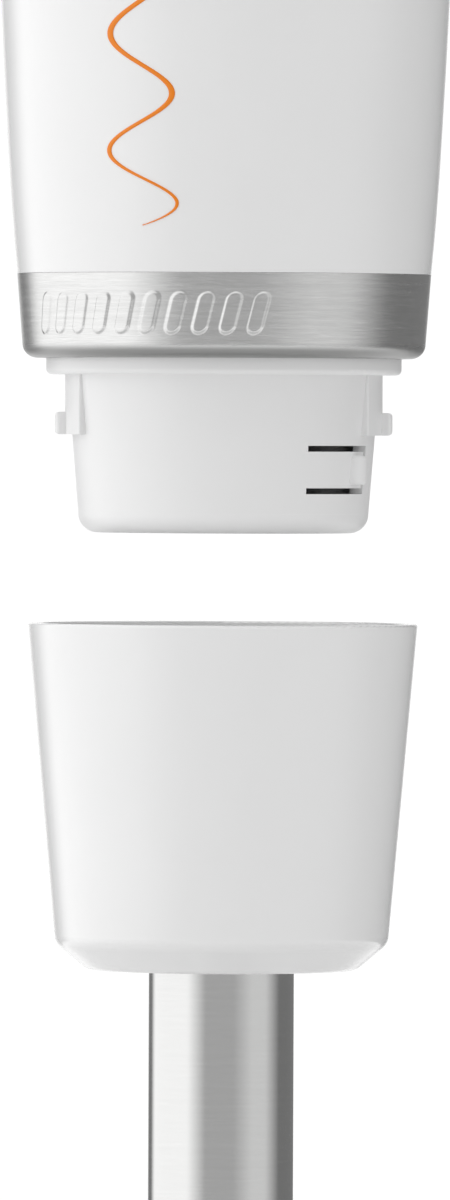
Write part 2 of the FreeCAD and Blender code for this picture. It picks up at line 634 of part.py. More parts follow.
# ---- Motor --------------------------------------------------------------------------------------
def stator_core():
    yoke = tube(STATOR_R, STATOR_R - YOKE, STATOR_BOTTOM, STATOR_TOP)
    bore_r = ARMATURE_R + AIR_GAP
    parts = [yoke]
    for angle in (90.0, 270.0):
        neck = box(bore_r, STATOR_R - YOKE / 2, -POLE_HALF_WIDTH, POLE_HALF_WIDTH, STATOR_BOTTOM, STATOR_TOP)
        shoe = sector(bore_r, bore_r + SHOE, STATOR_BOTTOM, STATOR_TOP, 0, SHOE_HALF_ANGLE)
        parts += around(neck.fuse(shoe), [angle])
    core = parts[0].fuse(parts[1:])
    core = core.cut(cylinder(bore_r, STATOR_BOTTOM - 1, STATOR_TOP + 1))
    core = core.common(box(-STATOR_FLAT, STATOR_FLAT, -STATOR_R, STATOR_R, STATOR_BOTTOM, STATOR_TOP))
    for angle in MOTOR_SCREW_ANGLES:
        at = polar(MOTOR_SCREW_CIRCLE, angle)
        core = core.cut(cylinder(MOTOR_SCREW_R + 0.15, STATOR_BOTTOM - 1, STATOR_TOP + 1, at.x, at.y))
    return core.removeSplitter()


def field_coils():
    """A saddle of enamelled wire round each pole."""
    outer = STATOR_R - YOKE - 0.3
    inner = outer - COIL_DEPTH
    low, high = STATOR_BOTTOM - COIL_OVERHANG, STATOR_TOP + COIL_OVERHANG
    gap = 0.5
    whole = sector(inner, outer, low, high, 0, 62.0)
    neck_half = math.degrees(math.asin((POLE_HALF_WIDTH + 0.3) / inner))
    window = sector(inner - 2, outer + 2, STATOR_BOTTOM - gap, STATOR_TOP + gap, 0, neck_half)
    coil_form = whole.cut(window)
    coil_form = rounded(coil_form, 1.4, lambda e: is_circle(e, outer, low) or is_circle(e, outer, high))
    return around(coil_form, (90.0, 270.0))


def bracket_windows(z0, z1, angles, half_width):
    return [box(12, 40, -half_width, half_width, z0, z1).rotated(V(0, 0, 0), UP, a) for a in angles]


def lower_motor_bracket():
    """Cup under the stator that holds the lower bearing and stands on three feet."""
    floor = LOWER_BRACKET_FLOOR_Z
    wall = tube(STATOR_R, STATOR_R - BRACKET_WALL, floor, STATOR_BOTTOM - SEAT_GAP)
    plate = cylinder(STATOR_R, floor, floor + BRACKET_FLOOR)
    hub = cylinder(BEARING_R + 1.6, LOWER_BEARING_Z - 1.2, floor + BRACKET_FLOOR)
    cup = wall.fuse([plate, hub])
    for angle in SCREW_ANGLES:
        at = polar(SCREW_CIRCLE_R, angle)
        cup = cup.fuse(cylinder(SCREW_BOSS_R, SPIGOT_BOSS_TOP + SEAT_GAP, floor + 1, at.x, at.y))
        pilot = cylinder(SCREW_R + THREAD_GAP, SPIGOT_BOSS_TOP - 1, floor - 2, at.x, at.y)
        cup = cup.cut(pilot)
    seat_z = LOWER_BEARING_Z - SEAT_GAP
    cup = cup.cut(cylinder(BEARING_R + SEAT_GAP, seat_z, LOWER_BEARING_Z + BEARING_WIDTH + 9))
    cup = cup.cut(cylinder(ROTOR_SHAFT_R + 1.0, LOWER_BEARING_Z - 5, floor + 9))
    for angle in MOTOR_SCREW_ANGLES:
        at = polar(MOTOR_SCREW_CIRCLE, angle)
        pillar = cylinder(2.9, floor, STATOR_BOTTOM - SEAT_GAP, at.x, at.y).common(cylinder(STATOR_R, 0, 90))
        cup = cup.fuse(pillar.cut(cylinder(FAN_R + 0.8, FAN_BOTTOM - 1, STATOR_BOTTOM)))
        cup = cup.cut(cylinder(MOTOR_SCREW_R + THREAD_GAP, floor + 4, STATOR_BOTTOM + 1, at.x, at.y))
    for window in bracket_windows(FAN_BOTTOM, FAN_TOP + 2.0, even(4, 0.0), 6.5):
        cup = cup.cut(window)
    return cup.removeSplitter()


def upper_motor_bracket():
    """Cage over the commutator that holds the upper bearing and the brush holders."""
    roof = UPPER_BRACKET_ROOF_Z
    wall = tube(STATOR_R, STATOR_R - BRACKET_WALL, STATOR_TOP + SEAT_GAP, roof + BRACKET_FLOOR)
    plate = cylinder(STATOR_R, roof, roof + BRACKET_FLOOR)
    hub = cylinder(BEARING_R + 1.6, UPPER_BEARING_Z, roof + BRACKET_FLOOR)
    cage = wall.fuse([plate, hub])
    half = BRUSH / 2 + HOLDER_WALL + 0.2
    for sign in (-1, 1):
        cheek = box(13, STATOR_R - 0.8, -half - 1.6, half + 1.6, BRUSH_Z - half - 1.6, roof)
        cage = cage.fuse(cheek if sign > 0 else cheek.mirror(V(0, 0, 0), V(1, 0, 0)))
    cage = cage.common(cylinder(STATOR_R, 0, 200))
    cage = cage.cut(cylinder(COMMUTATOR_R + 1.5, STATOR_TOP - 1, COMMUTATOR_TOP + 0.3))
    cage = cage.cut(box(-40, 40, -half, half, BRUSH_Z - half, BRUSH_Z + half))
    seat_z = UPPER_BEARING_Z + BEARING_WIDTH + SEAT_GAP
    cage = cage.cut(cylinder(BEARING_R + SEAT_GAP, UPPER_BEARING_Z - 4, seat_z))
    cage = cage.cut(cylinder(ROTOR_SHAFT_R + 1.0, UPPER_BEARING_Z, 120))
    for angle in MOTOR_SCREW_ANGLES:
        at = polar(MOTOR_SCREW_CIRCLE, angle)
        pillar = cylinder(2.9, STATOR_TOP + SEAT_GAP, roof + 1, at.x, at.y).common(cylinder(STATOR_R, 0, 120))
        cage = cage.fuse(pillar.cut(cylinder(STATOR_R - YOKE, 0, 120)))
        cage = cage.cut(cylinder(MOTOR_SCREW_R + 0.15, STATOR_TOP - 1, 120, at.x, at.y))
    for window in bracket_windows(STATOR_TOP + 9.0, roof - 1.5, (90.0, 135.0, 270.0, 315.0), 6.0):
        cage = cage.cut(window)
    return cage.removeSplitter()


def bearing(z):
    """A shielded ball bearing as one ring, with its races marked by a shallow groove on each face."""
    ring = tube(BEARING_R, ROTOR_SHAFT_R + RUN_GAP, z, z + BEARING_WIDTH)
    groove = tube(BEARING_R - 1.2, ROTOR_SHAFT_R + 1.3, -0.4, 0.4)
    for level in (z, z + BEARING_WIDTH):
        ring = ring.cut(groove.translated(V(0, 0, level)))
    top = z + BEARING_WIDTH
    return rounded(ring, 0.3, lambda e: is_circle(e, BEARING_R, z) or is_circle(e, BEARING_R, top))


def motor_mount(z):
    """A soft ring between motor and shell."""
    ring = tube(MOTOR_BORE_R - SEAT_GAP, STATOR_R + SEAT_GAP, z, z + MOUNT_WIDTH)
    for angle in even(12):
        at = polar(MOTOR_BORE_R + 0.3, angle)
        ring = ring.cut(cylinder(1.1, z - 1, z + MOUNT_WIDTH + 1, at.x, at.y))
    return ring


def motor_screws():
    made = []
    for angle in MOTOR_SCREW_ANGLES:
        at = polar(MOTOR_SCREW_CIRCLE, angle)
        head_z = CHASSIS_RING_Z + CHASSIS_RING
        made.append(screw(at.x, at.y, head_z, LOWER_BRACKET_FLOOR_Z + 5, MOTOR_SCREW_R, 2.4, 1.6))
    return made


def brush_sets():
    """Holders, brushes and springs, one of each on either side of the commutator."""
    half = BRUSH / 2
    out = half + HOLDER_WALL
    start = COMMUTATOR_R + 1.6
    sleeve = box(start, HOLDER_END_X, -out, out, BRUSH_Z - out, BRUSH_Z + out)
    free = half + 0.1
    sleeve = sleeve.cut(box(0, HOLDER_END_X - HOLDER_WALL, -free, free, BRUSH_Z - free, BRUSH_Z + free))
    brush = box(COMMUTATOR_R - 1, COMMUTATOR_R + BRUSH_LENGTH, -half, half, BRUSH_Z - half, BRUSH_Z + half)
    brush = brush.cut(cylinder(COMMUTATOR_R + RUN_GAP, 60, 120))
    room = HOLDER_END_X - HOLDER_WALL - COMMUTATOR_R - BRUSH_LENGTH
    behind = V(COMMUTATOR_R + BRUSH_LENGTH + 0.1, 0, BRUSH_Z)
    spring = coil(2.2, 0.3, room - 0.2, 5, behind, V(1, 0, 0))
    return [around(piece, (0.0, 180.0)) for piece in (sleeve, brush, spring)]


def armature_core():
    core = cylinder(ARMATURE_R, STATOR_BOTTOM, STATOR_TOP).cut(cylinder(ROTOR_SHAFT_R, 0, 120))
    at = ARMATURE_R - SLOT_R - 1.1
    slot = cylinder(SLOT_R, STATOR_BOTTOM - 1, STATOR_TOP + 1, at, 0)
    mouth = box(at, ARMATURE_R + 1, -0.7, 0.7, STATOR_BOTTOM - 1, STATOR_TOP + 1)
    for cut in around(slot.fuse(mouth), even(ARMATURE_SLOTS)):
        core = core.cut(cut)
    return core


def armature_windings():
    """The copper in the slots and the crowns of end turns."""
    at = ARMATURE_R - SLOT_R - 1.1
    bundle = cylinder(SLOT_R - 0.15, STATOR_BOTTOM - 1, STATOR_TOP + 1, at, 0)
    outer, inner, gap, height = at + SLOT_R - 0.3, ROTOR_SHAFT_R + 1.2, 0.2, 5.4
    crowns = []
    for end, way in ((STATOR_BOTTOM, -1), (STATOR_TOP, 1)):
        near, far = end + way * gap, end + way * (gap + height)
        crown = tube(outer, inner, min(near, far), max(near, far))
        crowns.append(rounded(crown, 2.2, lambda e: is_circle(e, outer, far)))
    return crowns[0].fuse([crowns[1], *around(bundle, even(ARMATURE_SLOTS))])


def commutator():
    low, high = COMMUTATOR_BOTTOM, COMMUTATOR_TOP
    ring = tube(COMMUTATOR_R, ROTOR_SHAFT_R, low, high)
    ring = ring.fuse(tube(COMMUTATOR_R + 1.0, ROTOR_SHAFT_R, low - 1.4, low))
    gap = box(COMMUTATOR_R - 0.8, COMMUTATOR_R + 2, -0.25, 0.25, low - 2, high + 1)
    for cut in around(gap, even(COMMUTATOR_BARS)):
        ring = ring.cut(cut)
    return ring


def cooling_fan():
    """A radial fan: hub, disc and swept-back blades."""
    hub_r, disc = 5.5, 1.2
    blade = box(hub_r + 2.5, FAN_R - 0.4, -0.5, 0.5, FAN_BOTTOM + disc - 0.2, FAN_TOP)
    blade = blade.rotated(V(hub_r + 2.5, 0, 0), UP, 28.0).common(cylinder(FAN_R, 0, 100))
    fan = cylinder(hub_r, FAN_BOTTOM - 1.0, FAN_TOP).fuse([cylinder(FAN_R, FAN_BOTTOM, FAN_BOTTOM + disc)])
    fan = fan.fuse(around(blade, even(FAN_BLADES)))
    return fan.cut(cylinder(ROTOR_SHAFT_R, 0, 100)).removeSplitter()


def rotor_shaft():
    """Armature shaft, from the motor coupling to just above the upper bearing."""
    low, high = DOG_CUP_FLOOR + 0.6, UPPER_BEARING_Z + BEARING_WIDTH + 0.6
    shaft = cylinder(ROTOR_SHAFT_R, low, high)
    return rounded(shaft, 0.5, lambda e: isinstance(e.Curve, Part.Circle))


def motor_coupling():
    """Toothed cup pressed on the armature shaft; its mouth takes the leg's dog."""
    cup = cylinder(DOG_CUP_R, DOG_CUP_BOTTOM, DOG_CUP_FLOOR + 1.6)
    cup = cup.fuse(cylinder(DOG_HUB_R, DOG_CUP_FLOOR, DOG_CUP_TOP))
    cup = cup.cut(cylinder(DOG_CUP_BORE_R, DOG_CUP_BOTTOM - 1, DOG_CUP_FLOOR))
    low, high = DOG_CUP_BOTTOM + 0.4, DOG_CUP_FLOOR + 0.4
    tooth = sector(DOG_CUP_TOOTH_R, DOG_CUP_BORE_R + 0.5, low, high, 0, DOG_CUP_TOOTH / 2)
    cup = cup.fuse(around(tooth, even(DOG_TEETH)))
    return cup.cut(cylinder(ROTOR_SHAFT_R, DOG_CUP_FLOOR + 0.6, 50)).removeSplitter()


# ---- Controls -----------------------------------------------------------------------------------
def button_flange_y(z):
    """Front face of a button's flange, just behind the shell's bore."""
    return -math.sqrt(shell_bore(z) ** 2 - BUTTON_FLANGE_R ** 2) + 0.8


def button(z):
    """A round cap that follows the handle's curve, with flange and stem behind the shell."""
    flange_y = button_flange_y(z)
    cap = rod_y(BUTTON_R, -60, flange_y + 0.1, z=z).common(handle_body(BUTTON_PROUD))
    cap = rounded(cap, 0.8, lambda e: e.BoundBox.YMax < flange_y - 2 and e.Length > BUTTON_R * 3)
    flange = rod_y(BUTTON_FLANGE_R, flange_y, flange_y + BUTTON_FLANGE, z=z)
    stem = rod_y(STEM_R, flange_y, STEM_END_Y, z=z)
    return cap.fuse([flange, stem]).removeSplitter()


def button_spring(z):
    back = button_flange_y(z) + BUTTON_FLANGE
    return coil(SPRING_COIL_R, SPRING_WIRE_R, SWITCH_TOP_Y - back, SPRING_TURNS, V(0, back, z), V(0, 1, 0))


def switch_plunger(z):
    return rod_y(PLUNGER_R, STEM_END_Y, SWITCH_TOP_Y + PLUNGER_IN, z=z)


def switch_body(z):
    half = SWITCH_SIDE / 2
    body = box(-half, half, SWITCH_TOP_Y, BOARD_FRONT_Y, z - half, z + half)
    body = rounded(body, 0.6, lambda e: follows(e, "y"))
    depth = PLUNGER_IN + BUTTON_TRAVEL + 0.4
    return body.cut(rod_y(PLUNGER_R + RUN_GAP, SWITCH_TOP_Y - 1, SWITCH_TOP_Y + depth, z=z))


def board_posts():
    return [(x, z) for x in (-BOARD_POST_X, BOARD_POST_X)
            for z in (BOARD_BOTTOM + BOARD_POST_EDGE, BOARD_TOP - BOARD_POST_EDGE)]


def control_board():
    back = BOARD_FRONT_Y + BOARD_THICK
    board = box(-BOARD_HALF_WIDTH, BOARD_HALF_WIDTH, BOARD_FRONT_Y, back, BOARD_BOTTOM, BOARD_TOP)
    board = rounded(board, 1.5, lambda e: follows(e, "y"))
    for x, z in board_posts():
        board = board.cut(rod_y(1.3, BOARD_FRONT_Y - 1, back + 1, x, z))
    return board


def board_screws():
    made = []
    for x, z in board_posts():
        shank = rod_y(1.1, BOARD_FRONT_Y, BOARD_FRONT_Y + 6, x, z)
        head = rod_y(2.1, BOARD_FRONT_Y - 1.4, BOARD_FRONT_Y, x, z)
        slot = box(x - 1.6, x + 1.6, BOARD_FRONT_Y - 2, BOARD_FRONT_Y - 0.7, z - 0.3, z + 0.3)
        made.append(shank.fuse(head.cut(slot)).removeSplitter())
    return made


def control_chassis():
    """Frame on top of the motor: foot ring, spine with board posts, and the shelf under the cap."""
    ring_top = CHASSIS_RING_Z + CHASSIS_RING
    back = BOARD_FRONT_Y + BOARD_THICK
    ring = tube(CHASSIS_RING_R, 9.0, CHASSIS_RING_Z, ring_top)
    spine_back = SPINE_Y + SPINE_THICK
    spine = box(-SPINE_HALF_WIDTH, SPINE_HALF_WIDTH, SPINE_Y, spine_back, CHASSIS_RING_Z, SHELF_TOP)
    shelf = cylinder(SHELF_R - 2.0, SHELF_BOTTOM, SHELF_TOP)
    rib = box(SPINE_HALF_WIDTH - 2, SPINE_HALF_WIDTH, SPINE_Y, SPINE_Y + 9, CHASSIS_RING_Z, SHELF_TOP)
    ribs = [rib, rib.mirror(V(0, 0, 0), V(1, 0, 0))]
    posts = [rod_y(BOARD_POST_R, back, SPINE_Y + 1, x, z) for x, z in board_posts()]
    boss_top = CAP_TOP - CAP_ROOF - SEAT_GAP
    bosses = [cylinder(2.9, SHELF_BOTTOM, boss_top, x, DIAL_Y) for x in (-CAP_SCREW_X, CAP_SCREW_X)]
    frame = ring.fuse([spine, shelf, *ribs, *posts, *bosses])
    for x in (-CAP_SCREW_X, CAP_SCREW_X):
        frame = frame.cut(cylinder(CAP_SCREW_R + THREAD_GAP, SHELF_TOP, boss_top + 1, x, DIAL_Y))
    for x, z in board_posts():
        frame = frame.cut(rod_y(1.1 + THREAD_GAP, back - 1, SPINE_Y - 1, x, z))
    frame = frame.cut(cylinder(POT_BUSH_R + 0.1, SHELF_BOTTOM - 1, SHELF_TOP + 1, 0, DIAL_Y))
    frame = frame.cut(cylinder(GLAND_R + 0.4, SHELF_BOTTOM - 1, SHELF_TOP + 1, 0, GLAND_Y))
    for angle in MOTOR_SCREW_ANGLES:
        at = polar(MOTOR_SCREW_CIRCLE, angle)
        frame = frame.cut(cylinder(MOTOR_SCREW_R + 0.15, CHASSIS_RING_Z - 1, ring_top + 1, at.x, at.y))
    return frame.removeSplitter()


def potentiometer():
    """Rotary control under the shelf, with its bush through the shelf."""
    low = SHELF_BOTTOM - POT_HEIGHT
    body = cylinder(POT_R, low, SHELF_BOTTOM, 0, DIAL_Y)
    body = body.common(box(-20, 20, DIAL_Y - 20, SPINE_Y - 0.3, low, SHELF_TOP))
    bush = cylinder(POT_BUSH_R, SHELF_BOTTOM, SHELF_TOP + 1.4, 0, DIAL_Y)
    return body.fuse(bush).removeSplitter().cut(cylinder(SPINDLE_R + RUN_GAP, low + 2, CAP_TOP, 0, DIAL_Y))


def dial_spindle():
    low, high = SHELF_BOTTOM - POT_HEIGHT + 2.2, CAP_TOP + 2.0
    spindle = cylinder(SPINDLE_R, low, high, 0, DIAL_Y)
    flat = box(-5, 5, DIAL_Y + SPINDLE_R - 0.9, DIAL_Y + 9, SHELF_TOP + 3.0, high + 1)
    return spindle.cut(flat)


def speed_dial():
    """Knob with a fluted rim, a dished top and a pointer groove."""
    low = CAP_TOP - DIAL_WELL + SLIDE_GAP
    high = low + DIAL_HEIGHT
    knob = Part.makeCone(DIAL_R, DIAL_R - 0.7, DIAL_HEIGHT, V(0, DIAL_Y, low))
    knob = rounded(knob, 1.2, lambda e: is_circle(e, DIAL_R - 0.7, high))
    dish_r = 26.0
    knob = knob.cut(Part.makeSphere(dish_r, V(0, DIAL_Y, high - 0.9 + dish_r)))
    for angle in even(DIAL_GRIPS):
        at = polar(DIAL_R + 0.45, angle)
        knob = knob.cut(cylinder(0.9, CAP_TOP + 1.2, high + 1, at.x, at.y + DIAL_Y))
    knob = knob.cut(box(-0.6, 0.6, DIAL_Y - DIAL_R + 1.6, DIAL_Y - 5.0, high - 1.9, high + 1))
    hub = cylinder(SPINDLE_R + 2.0, SHELF_TOP + 3.4, low + 1, 0, DIAL_Y)
    knob = knob.fuse(hub)
    hollow = tube(DIAL_R - 1.8, SPINDLE_R + 2.0, low - 1, low + 4.0, 0, DIAL_Y)
    return knob.cut(hollow).cut(dial_spindle_socket()).removeSplitter()


def dial_spindle_socket():
    """The D-shaped hole that fits over the spindle."""
    hole = cylinder(SPINDLE_R + RUN_GAP, SHELF_TOP, CAP_TOP + 2.2, 0, DIAL_Y)
    return hole.cut(box(-5, 5, DIAL_Y + SPINDLE_R - 0.9 + RUN_GAP, DIAL_Y + 9, SHELF_TOP - 5, CAP_TOP + 9))


def suppression_capacitor():
    """Box capacitor behind the spine."""
    y0 = SPINE_Y + SPINE_THICK
    wide, deep, tall = CAPACITOR
    body = box(-wide / 2, wide / 2, y0, y0 + deep, CAPACITOR_Z, CAPACITOR_Z + tall)
    return rounded(body, 0.8, lambda e: e.BoundBox.YMin > y0 + 1)


def triac():
    """Power switch for the motor, bolted to a folded heat sink behind the spine."""
    y0, low = SPINE_Y + SPINE_THICK, HEAT_SINK_Z
    wide, deep, tall = HEAT_SINK
    front = y0 + HEAT_SINK_SHEET
    sink = box(-wide / 2, wide / 2, y0, front, low, low + tall)
    for x in (-wide / 2, wide / 2 - HEAT_SINK_SHEET):
        sink = sink.fuse(box(x, x + HEAT_SINK_SHEET, y0, y0 + deep, low, low + tall))
    package = box(-5, 5, front, front + 4.5, low + 2, low + 11.5)
    tab = box(-5, 5, front, front + 1.3, low + 11, low + 17.5)
    bolt = rod_y(2.4, front + 1.3, front + 2.9, 0, low + 14.3)
    return sink.fuse([package, tab, bolt]).removeSplitter()


def cord_clamp():
    """Saddle that grips the cord below the gland, open where the cord goes through."""
    front = SPINE_Y + SPINE_THICK
    bar = box(-9.5, 9.5, front, front + 15.2, CLAMP_BOTTOM, CLAMP_TOP)
    bar = rounded(bar, 2.5, lambda e: follows(e, "z") and e.BoundBox.YMin > front + 6)
    return bar.cut(cylinder(GLAND_BORE_R, CLAMP_BOTTOM - 1, CLAMP_TOP + 1, 0, GLAND_Y))


def motor_leads():
    """The two wires from the board down to the brush holders."""
    y0 = BOARD_FRONT_Y - LEAD_R
    made = []
    for side in (-1, 1):
        points = [
            V(side * 5.0, y0, BOARD_BOTTOM + 8.0), V(side * 5.0, y0, BOARD_BOTTOM - 2.0),
            V(side * 12.0, y0 - 2.0, BOARD_BOTTOM - 9.0),
            V(side * (STATOR_R - 3.7), -13.0, CHASSIS_RING_Z + 7.5),
            V(side * (STATOR_R + 0.8), -7.4, CHASSIS_RING_Z + 0.5),
            V(side * MOTOR_BORE_R, -4.0, BRUSH_Z + 6.0), V(side * MOTOR_BORE_R, 0.0, BRUSH_Z),
            V(side * (HOLDER_END_X + 0.1), 0.0, BRUSH_Z),
        ]
        made.append(lead(points, LEAD_R))
    return made


# ---- Blending leg, in its seated place ----------------------------------------------------------
def collar_shell():
    """The drafted outer cup, chamfered at its foot, with the tube's hole."""
    chamfer_r = collar_radius(COLLAR_CORNER_Z)
    foot_r = chamfer_r - COLLAR_CHAMFER
    foot_in = foot_r - COLLAR_WALL * 0.5
    inner_rim_r = COLLAR_R - COLLAR_WALL
    inside_z = COLLAR_BOTTOM + COLLAR_WALL
    hole_r = TUBE_R + SEAT_GAP
    outline = [
        (COLLAR_R, RIM_Z), (chamfer_r, COLLAR_CORNER_Z), (foot_r, COLLAR_BOTTOM), (hole_r, COLLAR_BOTTOM),
        (hole_r, inside_z), (foot_in, inside_z), (chamfer_r - COLLAR_WALL, COLLAR_CORNER_Z + 0.8),
        (inner_rim_r, RIM_Z),
    ]
    cup = turned_outline(outline)
    cup = rounded(cup, 2.6, lambda e: is_circle(e, chamfer_r, COLLAR_CORNER_Z))
    cup = rounded(cup, 2.4, lambda e: is_circle(e, foot_r, COLLAR_BOTTOM))
    return rounded(cup, 0.35, lambda e: is_circle(e, COLLAR_R, RIM_Z) or is_circle(e, inner_rim_r, RIM_Z))


def socket_liner():
    """Inner moulding of the collar: bayonet tracks, floor, and the sleeve that carries tube and bush."""
    def outer_r(z):
        return collar_radius(z) - COLLAR_WALL - SEAT_GAP

    tube_bore = TUBE_R - TUBE_WALL - SEAT_GAP
    floor_z = LINER_FLOOR_BOTTOM
    outline = [
        (outer_r(LINER_TOP), LINER_TOP), (outer_r(floor_z), floor_z), (tube_bore, floor_z),
        (tube_bore, LINER_SLEEVE_BOTTOM), (BUSH_R + 1.6, LINER_SLEEVE_BOTTOM),
        (BUSH_R + 1.6, UPPER_BUSH_BOTTOM),
        (BUSH_R + 0.01, UPPER_BUSH_BOTTOM), (BUSH_R + 0.01, LINER_FLOOR_TOP), (LINER_LOW_R, LINER_FLOOR_TOP),
        (LINER_BORE_R, LINER_TAPER_Z), (LINER_BORE_R, LINER_TOP),
    ]
    liner = turned_outline(outline)
    clear = math.degrees(TRACK_CLEARANCE / LUG_R)
    entry_half = LUG_HALF_ANGLE + clear
    low, high = LUG_BOTTOM - TRACK_CLEARANCE, LUG_TOP + TRACK_CLEARANCE
    for angle in (LUG_ANGLE, LUG_ANGLE + 180.0):
        entry = sector(LINER_BORE_R - 3, TRACK_R, low, 1.0, angle, entry_half)
        track = sector(LINER_BORE_R - 3, TRACK_R, low, high, angle - TWIST / 2, entry_half + TWIST / 2)
        pocket_at = polar(LINER_BORE_R - 0.6, angle + DETENT_ANGLE - TWIST)
        pocket = cylinder(1.5, FINGER_BOTTOM, FINGER_TOP, pocket_at.x, pocket_at.y)
        liner = liner.cut(entry).cut(track).cut(pocket)
    for pin in tube_pins():
        liner = liner.cut(pin)
    return liner


def tube_pins():
    """Two short dowels that lock the tube to the liner's sleeve."""
    start = BUSH_R + 0.1
    return [rod_x(PIN_R, start, TUBE_R + 0.3, z=PIN_Z), rod_x(PIN_R, -TUBE_R - 0.3, -start, z=PIN_Z)]


def leg_tube():
    pipe = tube(TUBE_R, TUBE_R - TUBE_WALL, TUBE_BOTTOM, LINER_FLOOR_BOTTOM - SEAT_GAP)
    for pin in tube_pins():
        pipe = pipe.cut(pin)
    return pipe


def bush(z0, z1):
    ring = tube(BUSH_R, DRIVE_R + RUN_GAP, z0, z1)
    return rounded(ring, 0.4, lambda e: is_circle(e, BUSH_R, z0) or is_circle(e, BUSH_R, z1))


def socket_gasket():
    ring = tube(GASKET_R_OUT, GASKET_R_IN, LINER_FLOOR_TOP + 0.01, GASKET_TOP)
    radii = (GASKET_R_OUT, GASKET_R_IN)
    return rounded(ring, 0.3, lambda e: any(is_circle(e, radius, GASKET_TOP) for radius in radii))


def lower_bearing_carrier():
    """Plug in the tube's lower end, with the lower bush and the shaft seal in its nose."""
    plug_r = TUBE_R - TUBE_WALL - SEAT_GAP
    seal_r, bush_r = SEAL_R + 0.01, BUSH_R + 0.01
    outline = [
        (plug_r, CARRIER_TOP), (plug_r, CARRIER_BOTTOM + 6), (SEAL_R + 1.6, CARRIER_BOTTOM),
        (seal_r, CARRIER_BOTTOM), (seal_r, LOWER_BUSH_BOTTOM), (bush_r, LOWER_BUSH_BOTTOM),
        (bush_r, LOWER_BUSH_TOP), (BUSH_R - 1.5, LOWER_BUSH_TOP), (BUSH_R - 1.5, LOWER_BUSH_TOP + 2.0),
        (BUSH_R + 1.6, LOWER_BUSH_TOP + 4.0), (BUSH_R + 1.6, CARRIER_TOP),
    ]
    return turned_outline(outline)


def shaft_seal():
    """Lip seal round the drive shaft at the carrier's nose."""
    lip = DRIVE_R + RUN_GAP
    top = LOWER_BUSH_BOTTOM - 0.05
    outline = [
        (SEAL_R, top), (lip, top), (lip, top - 1.4), (lip + 1.6, top - 2.6), (lip + 1.6, SEAL_BOTTOM + 0.6),
        (lip, SEAL_BOTTOM), (lip + 2.6, SEAL_BOTTOM), (lip + 3.2, CARRIER_BOTTOM), (SEAL_R, CARRIER_BOTTOM),
    ]
    return turned_outline(outline)


def bell_guard():
    """Pressed bell welded to the tube, with a beaded rim, four rim arches and four windows."""
    down = (V(0, 0, -1), V(0, 0, -1))
    inner = offset(BELL_OUTLINE, BELL_WALL, down)
    neck = [BELL_OUTLINE[0], (BELL_OUTLINE[0][0], BELL_NECK_TOP), (inner[0][0], BELL_NECK_TOP), inner[0]]
    sides = [spline(BELL_OUTLINE, down), spline(inner, down)]
    bell = turned(sides + lines(neck) + lines([BELL_OUTLINE[-1], inner[-1]]))
    rim_r, rim_z = BELL_R, BELL_RIM_Z
    bead = Part.makeTorus(rim_r - BELL_WALL / 2, BEAD_R, V(0, 0, rim_z))
    bell = bell.fuse(bead)
    arch = box(10, 40, -ARCH_WIDTH / 2, ARCH_WIDTH / 2, rim_z - 9, rim_z + ARCH_HEIGHT)
    arch = rounded(arch, 6.0, lambda e: follows(e, "x") and e.BoundBox.ZMin > rim_z)
    half = WINDOW_HEIGHT / 2
    window = box(20, 40, -WINDOW_WIDTH / 2, WINDOW_WIDTH / 2, WINDOW_Z - half, WINDOW_Z + half)
    window = rounded(window, half * 0.95, lambda e: follows(e, "x"))
    for cut in around(arch, even(4)) + around(window, even(4, 45.0)):
        bell = bell.cut(cut)
    return bell


# ---- Drive line, in its seated place ------------------------------------------------------------
def drive_shaft():
    shaft = cylinder(DRIVE_R, BLADE_Z - BLADE_THICK - NUT_HEIGHT - 0.6, DRIVE_TOP)
    return rounded(shaft, 0.4, lambda e: isinstance(e.Curve, Part.Circle))


def leg_coupling():
    """Four-lobed dog on top of the drive shaft, turned so that the lock's twist stays within its play."""
    core = cylinder(DOG_CORE_R, DOG_LOBE_BOTTOM - 0.5, DOG_LOBE_TOP)
    lobe = sector(1.5, DOG_LOBE_R, DOG_LOBE_BOTTOM - 0.5, DOG_LOBE_TOP - 0.8, 0, DOG_LOBE / 2)
    first = 180.0 / DOG_TEETH - TWIST / 2
    collar = cylinder(DOG_COLLAR_R, DOG_COLLAR_BOTTOM, DOG_LOBE_BOTTOM)
    levels = (DOG_LOBE_BOTTOM, DOG_COLLAR_BOTTOM)
    collar = rounded(collar, 0.6, lambda e: any(is_circle(e, DOG_COLLAR_R, z) for z in levels))
    dog = core.fuse([collar, *around(lobe, even(DOG_TEETH, first))]).removeSplitter()
    return dog.cut(cylinder(DRIVE_R, DOG_COLLAR_BOTTOM - 1, DRIVE_TOP))


